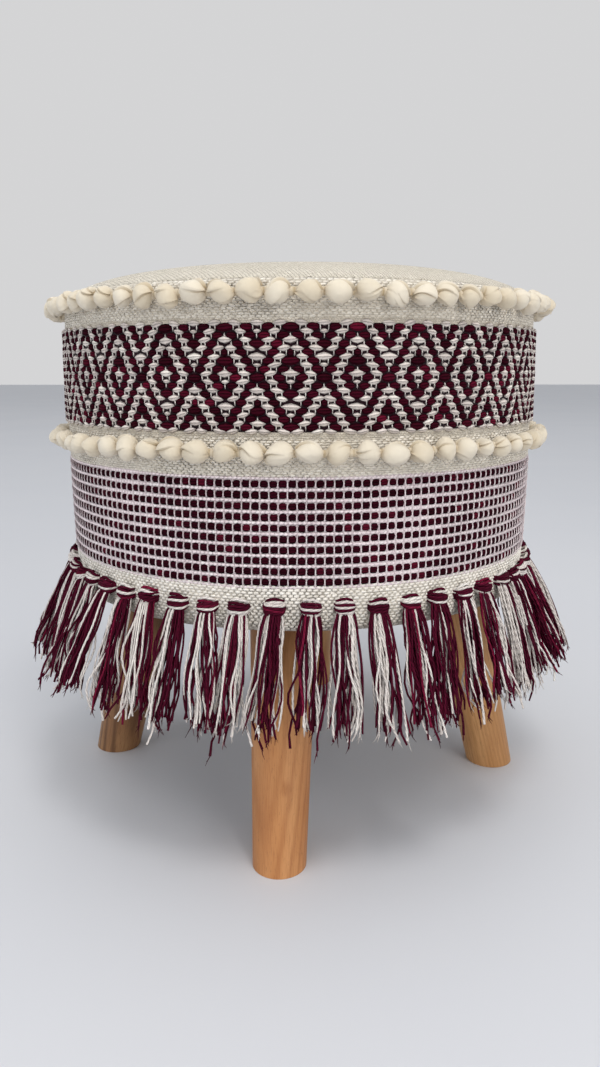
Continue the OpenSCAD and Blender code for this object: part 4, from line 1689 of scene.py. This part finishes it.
    def build(self) -> list[Object]:
        """Weaves the band: its burgundy floats, white floats and ties.

        Returns:
            The band's pieces.
        """
        dark, white, ties = self.motifs()
        rings = (-0.93, -0.6, 0.0, 0.6, 0.93)
        dark_shape = spindle("dark_float", 12, rings, blunt=3.4, ridges=0.06)
        white_shape = spindle("white_float", 12, rings, blunt=1.7, ridges=0.07)
        tie_shape = spindle("tie", 6, (-0.95, -0.5, 0.5, 0.95), blunt=5.0)
        return [copies.lay(self.drum, self.row, self.loose) for copies in (
            Copies("lozenge_burgundy", dark, [dark_shape], LOZENGE_FLOAT, Slot.BURGUNDY, size_spread=0.06, seed=21),
            Copies("lozenge_white", white, [white_shape], WHITE_FLOAT, Slot.WHITE, size_spread=0.1, seed=22),
            Copies("lozenge_ties", ties, [tie_shape], WHITE_YARN, Slot.WHITE, size_spread=0.06, seed=23),
        )]


@dataclass
class GridBand:
    """Band of small burgundy dashes in rows, with white warps between them and white weft rows between the rows."""

    drum: Drum
    row: Row = Row(200, 196.8 * MM)
    loose: Looseness = Looseness((0.16 * MM, 0.06 * MM, 0.12 * MM), 0.9 * MM)
    rows: int = 10
    first_row: float = 289.8 * MM
    row_step: float = 7.47 * MM
    base_out: float = 0.1 * MM
    dash_size: Triple = (5.5 * MM, 1.0 * MM, 4.95 * MM)
    dash_shapes: int = 6
    warp_out: float = 0.75 * MM
    warp_width: float = 1.0 * MM
    yarn_depth: float = 0.75 * MM
    weft_height: float = 3.1 * MM
    weft_length: float = 0.66
    weft_places: Pair = (-0.25, 0.25)
    warp_length: float = 0.9
    edge_weft: float = 0.75

    def build(self) -> list[Object]:
        """Weaves the band: its dashes, warps and weft rows.

        Returns:
            The band's pieces.
        """
        dashes, warps, wefts, step = Motif(), Motif(), Motif(), self.row.step
        for number in range(self.rows):
            z = self.first_row - number * self.row_step
            dashes.add((0.0, self.base_out, z), self.dash_size)
            size = (self.row_step * self.warp_length, self.yarn_depth, self.warp_width)
            warps.add((step / 2, self.warp_out, z), size, (0, math.pi / 2, 0))
        for number in range(self.rows + 1):
            z = self.first_row - (number - 0.5) * self.row_step
            slim = self.edge_weft if number in (0, self.rows) else 1.0
            for side in self.weft_places:
                size = (step * self.weft_length, self.yarn_depth, self.weft_height * slim)
                wefts.add((side * step, self.base_out, z), size)
        pillows = [pillow(f"dash_{k}", k) for k in range(self.dash_shapes)]
        warp = spindle("warp", 6, (-0.95, 0.0, 0.95), blunt=6.0)
        weft = spindle("weft", 6, (-0.9, 0.0, 0.9), blunt=2.6)
        return [copies.lay(self.drum, self.row, self.loose) for copies in (
            Copies("grid_dashes", dashes, pillows, BURGUNDY_FLOAT, Slot.BURGUNDY, size_spread=0.07, seed=31),
            Copies("grid_warps", warps, [warp], PINKISH_WEFT, Slot.WHITE, size_spread=0.08, seed=32),
            Copies("grid_wefts", wefts, [weft], PINKISH_WEFT, Slot.WHITE, size_spread=0.1, seed=33),
        )]


@dataclass
class PlainStrips:
    """The plain cotton strips above, between and below the bands: rows of staggered basket-weave cells."""

    drum: Drum
    row: Row = Row(284, 196.5 * MM)
    hem_step: float = 2.2 * MM
    rib_step: float = 1.7 * MM
    overlap: float = 1.16
    widening: float = 1.06
    wander: Pair = (0.12, 1.7)
    hem_clear: float = 1.5 * MM
    past_hem_top: float = 1.2 * MM
    past_grid: float = 0.8 * MM
    seam_clear: float = 0.6 * MM
    size_spread: float = 0.16
    cell_depth: float = 0.55 * MM
    loose: Looseness = Looseness((0.3 * MM, 0.12 * MM, 0.16 * MM), 1.4 * MM, (0.0, 0.14, 0.0))
    seed: int = 51

    def strip(self, name: str, low: float, high: float, row_step: float, finish: Finish, seed: int) -> Object:
        """Weaves one strip between two heights.

        Args:
            name: the strip's name.
            low, high: its edges.
            row_step: about how far its rows lie apart.
            finish: its yarn.
            seed: picks its unevenness.

        Returns:
            The strip's cells as one piece.
        """
        width, rows = self.row.step, round((high - low) / row_step)
        step = (high - low) / rows
        size = (width * self.widening, self.cell_depth * row_step / self.hem_step, step * self.overlap)
        motif = Motif()
        for number in range(rows):
            slide = 0.5 * (number % 2) + self.wander[0] * math.sin(self.wander[1] * number)
            motif.add((slide * width, 0.0, low + (number + 0.5) * step), size)
        copies = Copies(name, motif, [cell(f"{name}_cell")], finish, Slot.SIDE_CLOTH, self.size_spread, seed)
        return copies.lay(self.drum, self.row, self.loose)

    def build(self) -> list[Object]:
        """Weaves the three strips.

        Returns:
            The strips.
        """
        d = self.drum
        # The hem takes the brighter copy of the weft (painted light) and the strips under the bobbles the darker one
        # (painted shade).
        spans = (
            ("hem_strip", d.base + self.hem_clear, d.hem_top + self.past_hem_top, self.hem_step, HEM_WEFT_PAINTED_LIGHT),
            ("middle_strip", d.grid_top - self.past_grid, d.lozenge_low + d.selvedge, self.rib_step, COTTON_WEFT_PAINTED_SHADE),
            ("top_strip", d.lozenge_top - d.selvedge, d.seam - self.seam_clear, self.rib_step, COTTON_WEFT_PAINTED_SHADE),
        )
        return [self.strip(*span, self.seed + k) for k, span in enumerate(spans)]


# ---- trims


@dataclass
class BobbleTrim:
    """A row of stuffed jersey bobbles threaded on a thin cord and laid round the drum."""

    drum: Drum
    node: str
    name: str
    seed: int
    count: int = 68
    width: float = 16.7 * MM
    height: float = 15.0 * MM
    depth: float = 14.4 * MM
    folds: int = 4
    cord: float = 6.6 * MM
    cord_sides: int = 10
    cord_steps: int = 16
    cord_inset: float = 1.4 * MM
    start: float = math.radians(1.6)
    shapes: int = 12
    rings: int = 15
    tip: float = 0.96
    size_spread: float = 0.08
    loose: Looseness = Looseness((0.5 * MM, 0.2 * MM, 1.0 * MM), 1.6 * MM, (math.pi, 0.3, 0.14))

    @property
    def ring(self) -> float:
        """Radius of the ring on which the bobbles' middles lie."""
        return node_box(self.node)[1].x - self.height / 2

    @property
    def level(self) -> float:
        """Height of the ring."""
        low, high = node_box(self.node)
        return (low.z + high.z) / 2

    def bobble(self, number: int) -> Object:
        """One stuffed bobble of unit size, with pinched ends and folds that run out from them and fade.

        Args:
            number: picks its folds.

        Returns:
            The closed shape, whose cord runs along X.
        """
        pick = np.random.default_rng(self.seed * 100 + number)
        folds = np.sort(pick.uniform(0, FULL_TURN / self.folds, self.folds) + turns_of(self.folds))
        beside = (folds[:, None] + np.array([-0.16, -0.07, -0.02, 0.03, 0.1, 0.22])).ravel()
        turn = np.concatenate([np.linspace(0, FULL_TURN, 15)[:-1], beside])
        turn = np.unique(np.round(turn % FULL_TURN, 3))
        sides, rings = len(turn), self.rings
        x, about = np.meshgrid(-np.cos(np.linspace(0.16, math.pi - 0.16, rings)), turn, indexing="ij")
        reach, dents = np.ones_like(x), np.zeros_like(x)
        for fold in folds:
            off = (about - fold + math.pi) % FULL_TURN - math.pi
            fade = np.clip((pick.choice([-1.0, 1.0]) * x + pick.uniform(0.3, 0.9)) / 1.1, 0, 1) ** 1.3
            ledge = pick.uniform(0.10, 0.21) * fade
            reach += ledge * np.where(off > 0, np.exp(-off / 0.7), -0.5 * np.exp(off / 0.4))
            dents = np.maximum(dents, np.exp(-(((off + 0.03) / 0.09) ** 2)) * fade)
        end = np.abs(x)
        gather = np.exp(-(1 - end) / 0.2)
        pleats = 0.05 * gather * np.sin(7 * about + pick.uniform(0, 6))
        reach = (reach - 0.05 * dents) * (1 + pleats - 0.06 * np.exp(-(1 - end) / 0.05))
        about = about + pick.choice([-1.0, 1.0]) * pick.uniform(0.3, 1.1) * x
        wide = np.sqrt(1 - x**2) * (1 - 0.2 * end**3)
        unit = np.stack([x, wide * np.cos(about), wide * np.sin(about)], -1).reshape(-1, 3)
        unit = np.vstack([unit, [(-self.tip, 0, 0), (self.tip, 0, 0)]])
        reach = np.append(reach.ravel(), (self.tip, self.tip))
        for strength, pace in ((0.1, 1.6), (0.07, 2.7), (0.04, 4.2)):
            way = pick.normal(size=3)
            lumps = np.sin(pace * unit @ way / np.linalg.norm(way) + pick.uniform(0, 6))
            reach = reach * (1 + strength * lumps)
        points = unit * reach[:, None] * 0.5 * (1 + pick.uniform(-0.06, 0.06, 3))
        # Painted shade mask: darker along the folds and at the pinched ends.
        crease = np.append(np.clip(0.5 * dents + 0.5 * gather, 0, 1).ravel(), (0.6, 0.6))
        count = rings * sides
        faces = tube(rings, sides) + fan(0, sides, count) + fan(count - sides, sides, count + 1)
        return closed_shape(f"{self.name}_{number:02d}", points, faces, crease=crease)

    def cord_ring(self) -> Object:
        """The cord, gathered between the bobbles.

        Returns:
            The cord.
        """
        total = self.count * self.cord_steps
        pick = np.random.default_rng(self.seed)
        within = (np.arange(total) % self.cord_steps) / self.cord_steps
        gathered = np.cos(FULL_TURN * within * 5) * (np.abs(within - 0.5) < 0.3)
        wrinkle = (gathered + pick.normal(0, 0.3, total))[:, None]
        turn, about = np.meshgrid(turns_of(total), turns_of(self.cord_sides), indexing="ij")
        a = FRONT + self.start + turn
        r = self.cord / 2 * (0.86 + 0.09 * wrinkle + 0.06 * np.sin(3 * about + 40 * turn))
        out = self.ring - self.cord_inset + 0.8 * r * np.cos(about)
        points = np.stack([out * np.cos(a), out * np.sin(a), self.level + r * np.sin(about)], -1).reshape(-1, 3)
        # Painted shade mask: darker in the cord's gathered wrinkles.
        crease = np.broadcast_to(np.clip(0.5 - 0.3 * wrinkle, 0, 1), turn.shape).ravel()
        faces, tone = tube(total, self.cord_sides, closed=True), np.full(len(points), 0.5)
        made = closed_shape(f"{self.name}_cord", points, faces, tone=tone, crease=crease)
        made.data.materials.append(JERSEY.material())
        return keep(made, Slot.JERSEY)

    def build(self) -> list[Object]:
        """Threads the bobbles on their cord.

        Returns:
            The bobbles and the cord.
        """
        motif, row = Motif(), Row(self.count, self.ring, self.start)
        out = self.ring - self.drum.radius - self.drum.bulge(self.level)
        motif.add((0.0, out, self.level), (self.width, self.depth, self.height))
        shapes = [self.bobble(k) for k in range(self.shapes)]
        bobbles = Copies(self.name, motif, shapes, JERSEY, Slot.JERSEY, self.size_spread, self.seed, (self.node,))
        return [bobbles.lay(self.drum, row, self.loose), self.cord_ring()]


# ---- fringe


class Strand(NamedTuple):
    """One length of yarn: its path, its thickness along it, its tone, and whether it is white."""

    path: np.ndarray
    thickness: np.ndarray
    tone: float
    white: bool

    def placed(self, place: Matrix) -> "Strand":
        """Moves the strand from a frame of its own into the object's."""
        turn = np.array(place.to_3x3())
        return self._replace(path=self.path @ turn.T + np.array(place.translation))


def strands_piece(name: str, strands: Sequence[Strand], sides: int, finish: Finish) -> Object:
    """Sweeps all strands into one piece.

    Args:
        name: the piece's name.
        strands: the lengths of yarn.
        sides: corners of a strand's cross-section.
        finish: the yarn's finish.

    Returns:
        The new piece.
    """
    mesh = bpy.data.meshes.new("paths")
    edges, start = [], 0
    for strand in strands:
        edges += [(start + k, start + k + 1) for k in range(len(strand.path) - 1)]
        start += len(strand.path)
    mesh.from_pydata(np.vstack([s.path for s in strands]).tolist(), edges, [])
    set_attribute(mesh, "thickness", np.concatenate([s.thickness for s in strands]))
    set_attribute(mesh, "along", np.concatenate([running_length(s.path) for s in strands]))
    set_attribute(mesh, "tone", np.concatenate([np.full(len(s.path), s.tone) for s in strands]))
    source = link(bpy.data.objects.new("paths", mesh))
    return run_tree(source, spun_strands(), name, {"Sides": sides, "Material": finish.material()})


@dataclass
class Fringe:
    """Tassels of burgundy and white yarn, each looped through the hem and drawn into a knot."""

    drum: Drum
    count: int = 52
    strands: int = 35
    length: float = 79 * MM
    yarn: float = 1.65 * MM
    knot_level: float = 204.8 * MM
    knot_width: float = 13.4 * MM
    knot_height: float = 11.4 * MM
    knot_depth: float = 9.0 * MM
    loops: int = 8
    top_width: float = 14.0 * MM
    tip_width: float = 22.5 * MM
    lean: float = math.radians(19)
    steps: int = 12
    white_share: float = 0.33
    stray_share: float = 0.13
    frayed_share: float = 0.4
    golden_turn: float = 2.4
    hang_turn: float = math.radians(0.5)
    hang_level: float = 1.3 * MM
    hang_roll: float = 0.06
    white_limits: Pair = (0.14, 0.56)
    lean_limits: Pair = (0.75, 1.25)
    fibre_limits: Pair = (2.5 * MM, 5.5 * MM)
    seed: int = 7

    def build(self) -> list[Object]:
        """Ties all tassels and sorts their yarn into one burgundy and one white piece for skirts and for knots.

        Returns:
            The four pieces.
        """
        skirts: list[Strand] = []
        knots: list[Strand] = []
        for number in range(self.count):
            pick = np.random.default_rng(self.seed * 1000 + number)
            place = self.frame_of(number, pick)
            skirts += [strand.placed(place) for strand in self.skirt_of(pick)]
            knots += [strand.placed(place) for strand in self.knot_of(pick)]
        made = []
        for name, strands, white, sides, stands_for in (
            ("fringe_burgundy", skirts, False, 5, ["tassels"]), ("fringe_white", skirts, True, 5, []),
            ("fringe_knots_burgundy", knots, False, 6, []), ("fringe_knots_white", knots, True, 6, []),
        ):
            finish, slot = (WHITE_YARN, Slot.WHITE) if white else (BURGUNDY_YARN, Slot.BURGUNDY)
            piece = strands_piece(name, [s for s in strands if s.white == white], sides, finish)
            made.append(keep(piece, slot, *stands_for))
        return made

    def frame_of(self, number: int, pick: np.random.Generator) -> Matrix:
        """Where a tassel hangs: X along the hem, Y out of it and Z up, from the knot's back.

        Args:
            number: the tassel.
            pick: its own random numbers.

        Returns:
            The tassel's frame.
        """
        angle = FRONT + FULL_TURN * number / self.count + pick.uniform(-1, 1) * self.hang_turn
        level = self.knot_level + pick.uniform(-1, 1) * self.hang_level
        reach = self.drum.radius + self.drum.bulge(level)
        turn = Matrix.Rotation(angle + math.pi / 2, 4, "Z") @ Matrix.Scale(-1, 4, (0, 1, 0))
        roll = Matrix.Rotation(pick.normal(0, self.hang_roll), 4, "Y")
        return Matrix.Translation((reach * math.cos(angle), reach * math.sin(angle), level)) @ turn @ roll

    def skirt_of(self, pick: np.random.Generator) -> Iterator[Strand]:
        """The hanging strands of one tassel, in groups of one colour.

        Args:
            pick: the tassel's own random numbers.

        Yields:
            Each strand.
        """
        count = self.strands + int(pick.integers(-2, 3))
        share = float(np.clip(pick.normal(self.white_share, 0.1), *self.white_limits))
        lean = self.lean * pick.uniform(*self.lean_limits)
        sway = pick.normal(0, 0.085)
        bend = pick.uniform(0.1, 0.5)
        waves = pick.uniform(0, FULL_TURN, 3)
        order = np.arange(count)
        off, turn = np.sqrt((order + 0.5) / count), self.golden_turn * order + waves[0]
        across, deep = off * np.cos(turn), off * np.sin(turn)
        groups = np.sin(4.2 * across + waves[1]) + 0.7 * np.sin(7.5 * across + 2.5 * deep + waves[2])
        groups += pick.normal(0, 0.55, count)
        t = np.linspace(0, 1, self.steps + 1)
        grown, free = 1 - np.exp(-14 * t), np.minimum(t * 5, 1)
        spread = self.top_width / 2 + (self.tip_width - self.top_width) / 2 * (1 - np.exp(-5 * t))
        for a, b, white in zip(across, deep, groups > np.quantile(groups, 1 - share)):
            stray = pick.random() < self.stray_share
            length = self.length * (1 + pick.normal(0, 0.045) + (pick.uniform(0.02, 0.18) if stray else 0.0))
            slant = lean * (1 + bend * (0.5 - t)) + b * 0.05 * t
            out, down = (np.append(0, np.cumsum(way(slant[1:]))) * length / self.steps for way in (np.sin, np.cos))
            amp = (0.5 + 1.5 * t) * (2.6 if stray else 1.0) * MM
            x = a * spread * (0.66 + 0.3 * grown) + sway * down
            x = x + amp * np.sin(pick.uniform(4, 11) * t + pick.uniform(0, 6.3)) * free
            y = self.knot_depth * (0.34 + 0.24 * b + (0.16 + 0.16 * b) * grown) + 2.2 * MM * b * t + out
            y = y + 0.8 * amp * np.sin(pick.uniform(4, 12) * t + pick.uniform(0, 6.3)) * free
            x = x + pick.normal(0, 3.5 if stray else 1.5) * MM * t**3
            thick = np.full(len(t), self.yarn / 2 * pick.uniform(0.88, 1.1))
            thick[-1] *= pick.uniform(0.6, 1.25)
            path = np.stack([x, np.maximum(y, self.yarn * 0.7), -down], -1)
            yield Strand(path, thick, float(pick.random()), bool(white))
            if pick.random() < self.frayed_share:
                yield from self.frayed(path, bool(white), pick)

    def frayed(self, path: np.ndarray, white: bool, pick: np.random.Generator) -> Iterator[Strand]:
        """Two or three loose fibres at a strand's cut end.

        Args:
            path: the strand's path.
            white: whether it is white.
            pick: the tassel's own random numbers.

        Yields:
            Each fibre.
        """
        end = path[-1]
        way = (end - path[-3]) / np.linalg.norm(end - path[-3])
        for _ in range(int(pick.integers(2, 4))):
            off = way + pick.normal(0, 0.35, 3)
            reach = pick.uniform(*self.fibre_limits)
            tip = end + off * reach + pick.normal(0, 0.5, 3) * MM
            line = np.array([end - way * 1.0 * MM, end + off * reach * 0.5, tip])
            yield Strand(line, np.array([0.45, 0.36, 0.12]) * self.yarn / 2, float(pick.random()), white)

    def knot_of(self, pick: np.random.Generator) -> Iterator[Strand]:
        """The loops that wrap the head of one tassel, from its top edge to its lower one, and the core in them.

        Args:
            pick: the tassel's own random numbers.

        Yields:
            Each loop, and then the core.
        """
        count = self.loops + int(pick.integers(-1, 1))
        white = pick.random() < 0.3
        colours = []
        for _ in range(count):
            white = pick.random() < (0.35 if white else 0.36)
            colours.append(bool(white))
        if all(colours):
            colours[0] = False
        s = np.linspace(-1, 1, 12)
        half = self.knot_width / 2 * pick.uniform(0.92, 1.08)
        for k, white in enumerate(colours):
            share = 2 * (k + 0.5) / count - 1
            full = math.sqrt(1 - 0.75 * share**2)
            x = half * (0.5 + 0.5 * full) * np.sin(s * math.pi / 2)
            y = self.knot_depth * full * np.sqrt(np.maximum(0, 1 - np.abs(s) ** 2.6)) - 0.6 * MM
            arch = -share * self.knot_height * 0.34 * (1 - s**2) + pick.normal(0, 0.6) * MM * s
            z = -share * self.knot_height * 0.3 + arch + pick.normal(0, 0.12) * MM * np.sin(3 * s)
            thick = np.full(len(s), self.yarn / 2 * pick.uniform(1.1, 1.5))
            yield Strand(np.stack([x, y, z], -1), thick, float(pick.random()), white)
        depth, height = self.knot_depth, self.knot_height
        core = np.array([[0, depth * 0.35, height * 0.28], [0, depth * 0.4, 0], [0, depth * 0.4, -height * 0.42]])
        yield Strand(core, np.array([0.7, 1.0, 0.8]) * depth * 0.42, 0.2, False)


# ---- hard pieces


class Side(Enum):
    """The four legs by the side they stand on, with the angle of each in degrees."""

    FRONT = -90
    RIGHT = 0
    BACK = 90
    LEFT = 180

    @property
    def leg(self) -> str:
        """Name of the leg's node."""
        return f"leg_{self.name.lower()}"

    @property
    def plate(self) -> str:
        """Name of its plate's node."""
        return f"leg_plate_{self.name.lower()}"


def dress_node(name: str, finish: Finish) -> None:
    """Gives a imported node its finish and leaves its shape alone.

    Args:
        name: the node.
        finish: its finish.
    """
    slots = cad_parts[name].data.materials
    slots.clear()
    slots.append(finish.material())
    LOG.info("%s: packed shape, %s", name, finish.name)


@dataclass
class Legs:
    """Finishes of the four turned legs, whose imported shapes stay."""

    splay: float = math.radians(13)
    foot_ring: float = 180.71 * MM
    woods: tuple[WoodFinish, ...] = (
        WoodFinish("leg_wood_front", *tints((204, 147, 94), (189, 128, 76), (157, 95, 49)), 4.2 * MM,
                   (-26 * MM, 12 * MM, 0.0), 0.4, (19.5 * MM, 6 * MM, 62 * MM)),
        WoodFinish("leg_wood_right", *tints((207, 157, 104), (186, 134, 82), (156, 105, 60)), 3.6 * MM,
                   (-12 * MM, -22 * MM, 0.0), 0.35),
        WoodFinish("leg_wood_back", *tints((204, 156, 104), (184, 134, 84), (154, 102, 58)), 4.6 * MM,
                   (18 * MM, 16 * MM, 0.0), 0.45),
        WoodFinish("leg_wood_left", *tints((174, 132, 90), (144, 101, 64), (86, 54, 31)), 6.0 * MM,
                   (20 * MM, -18 * MM, 0.0), 0.75),
    )

    def build(self) -> None:
        """Gives each leg its wood, whose grain follows the leg's own slanted axis."""
        for side, wood in zip(Side, self.woods):
            turn = math.radians(side.value)
            foot = (self.foot_ring * math.cos(turn), self.foot_ring * math.sin(turn), 0.0)
            dress_node(side.leg, replace(wood, foot=foot, lean=(0.0, -self.splay, turn)))


@dataclass
class Carcass:
    """Finishes of the boards, posts, plates and fixings inside the drum and under it."""

    plywood: tuple[str, ...] = ("base_board", "seat_board")
    steel: tuple[str, ...] = ("hanger_bolts", "plate_screws", "frame_screws", "cover_staples")

    def build(self) -> None:
        """Gives each hard piece its finish."""
        for name in self.plywood:
            dress_node(name, PLYWOOD)
        dress_node("frame_posts", POST_WOOD)
        dress_node("drum_wall", HARDBOARD)
        for name in (*self.steel, *(side.plate for side in Side)):
            dress_node(name, STEEL)


# ---- studio


@dataclass(frozen=True)
class Lamp:
    """One soft square lamp that shines at a point."""

    name: str
    place: Triple
    aim: Triple
    size: float
    power: float
    colour: Triple

    def hang(self) -> None:
        """Puts the lamp in the scene."""
        data = bpy.data.lights.new(self.name, "AREA")
        data.shape, data.size, data.energy, data.color = "SQUARE", self.size, self.power, self.colour
        way = (Vector(self.aim) - Vector(self.place)).to_track_quat("-Z", "Y").to_matrix().to_4x4()
        link(bpy.data.objects.new(self.name, data)).matrix_world = Matrix.Translation(self.place) @ way


@dataclass
class Studio:
    """Camera, lamps and floor."""

    distance: float = 0.7143
    height: float = 0.3642
    round_by: float = math.radians(5)
    pitch: float = math.radians(-11.75)
    roll: float = math.radians(-0.125)
    yaw: float = math.radians(-0.026)
    focal_px: float = 792.4
    picture_height_px: float = 1067.0
    sensor_mm: float = 36.0
    floor_size: float = 36.0
    floor_drop: float = 0.2 * MM
    background: Colour = (0.66, 0.66, 0.66 * 1.01, 1.0)
    surround: Colour = (0.94, 0.965, 1.0, 1.0)
    surround_strength: float = 0.52
    lamps: tuple[Lamp, ...] = (
        Lamp("ceiling", (0.0, 0.0, 5.0), (0.0, 0.0, 0.0), 9.0, 106.0, (1.0, 0.99, 0.97)),
        Lamp("key", (0.3, -0.92, 1.9), (0.0, 0.0, 0.28), 0.55, 11.0, (1.0, 0.98, 0.95)),
        Lamp("front_right", (2.0, -2.5, 1.2), (0.0, 0.0, 0.25), 1.8, 27.5, (1.0, 0.97, 0.93)),
        Lamp("front_left", (-2.3, -2.0, 1.0), (0.0, 0.0, 0.22), 1.8, 17.0, (0.95, 0.97, 1.0)),
    )

    def camera(self) -> None:
        """Sets the camera at the photograph's viewpoint."""
        data = bpy.data.cameras.new("camera")
        data.sensor_fit, data.sensor_width = "AUTO", self.sensor_mm
        data.lens = data.sensor_width * self.focal_px / self.picture_height_px
        data.clip_start, data.clip_end = 0.01, 50.0
        camera = link(bpy.data.objects.new("camera", data))
        turn = Matrix.Rotation(self.round_by + self.yaw, 4, "Z")
        turn = turn @ Matrix.Rotation(math.pi / 2 + self.pitch, 4, "X") @ Matrix.Rotation(self.roll, 4, "Z")
        stand = FRONT + self.round_by
        place = (self.distance * math.cos(stand), self.distance * math.sin(stand), self.height)
        camera.matrix_world = Matrix.Translation(place) @ turn
        bpy.context.scene.camera = camera

    def floor(self) -> None:
        """Lays the pale floor."""
        half = self.floor_size / 2
        corners = [(x * half, y * half, -self.floor_drop) for x, y in ((-1, -1), (1, -1), (1, 1), (-1, 1))]
        piece = mesh_piece("floor", corners, [(0, 1, 2, 3)])
        piece.data.materials.append(FLOOR.material())

    def world(self) -> None:
        """Makes an even pale surround, which lights the object softly and shows as a pale background."""
        world = bpy.data.worlds.new("surround")
        world.use_nodes = True
        world.node_tree.nodes.clear()
        s = Sketch(world.node_tree)
        path = s.node("ShaderNodeLightPath").outputs
        seen = s.math("MAXIMUM", path["Is Camera Ray"], path["Is Glossy Ray"])
        seen = s.math("MAXIMUM", seen, path["Is Transmission Ray"])
        dim = s.result("ShaderNodeBackground", {0: self.surround, 1: self.surround_strength})
        shown = s.result("ShaderNodeBackground", {0: self.background, 1: 1.0})
        s.node("ShaderNodeOutputWorld", {0: s.result("ShaderNodeMixShader", {0: seen, 1: dim, 2: shown})})
        bpy.context.scene.world = world

    def build(self) -> None:
        """Sets up the whole studio."""
        self.camera()
        self.floor()
        self.world()
        for lamp in self.lamps:
            lamp.hang()
        bpy.context.scene.view_settings.view_transform = "Standard"


def main() -> None:
    """Builds the dressed pouf, sub-assembly by sub-assembly."""
    logging.basicConfig(level=logging.INFO, format="%(name)s: %(message)s")
    Studio().build()
    drum = Drum.measured()
    Legs().build()
    Carcass().build()
    layers = Upholstery(drum)
    layers.padding()
    layers.top_panel()
    layers.underside()
    woven_on = []
    for part in (
        LozengeBand(drum), GridBand(drum), PlainStrips(drum),
        BobbleTrim(drum, "upper_bobble_trim", "upper_bobbles", 41, start=math.radians(1.5)),
        BobbleTrim(drum, "lower_bobble_trim", "lower_bobbles", 42), Fringe(drum),
    ):
        woven_on += part.build()
    SideCloth(drum).build(woven_on)


if __name__ == "__main__":
    main()
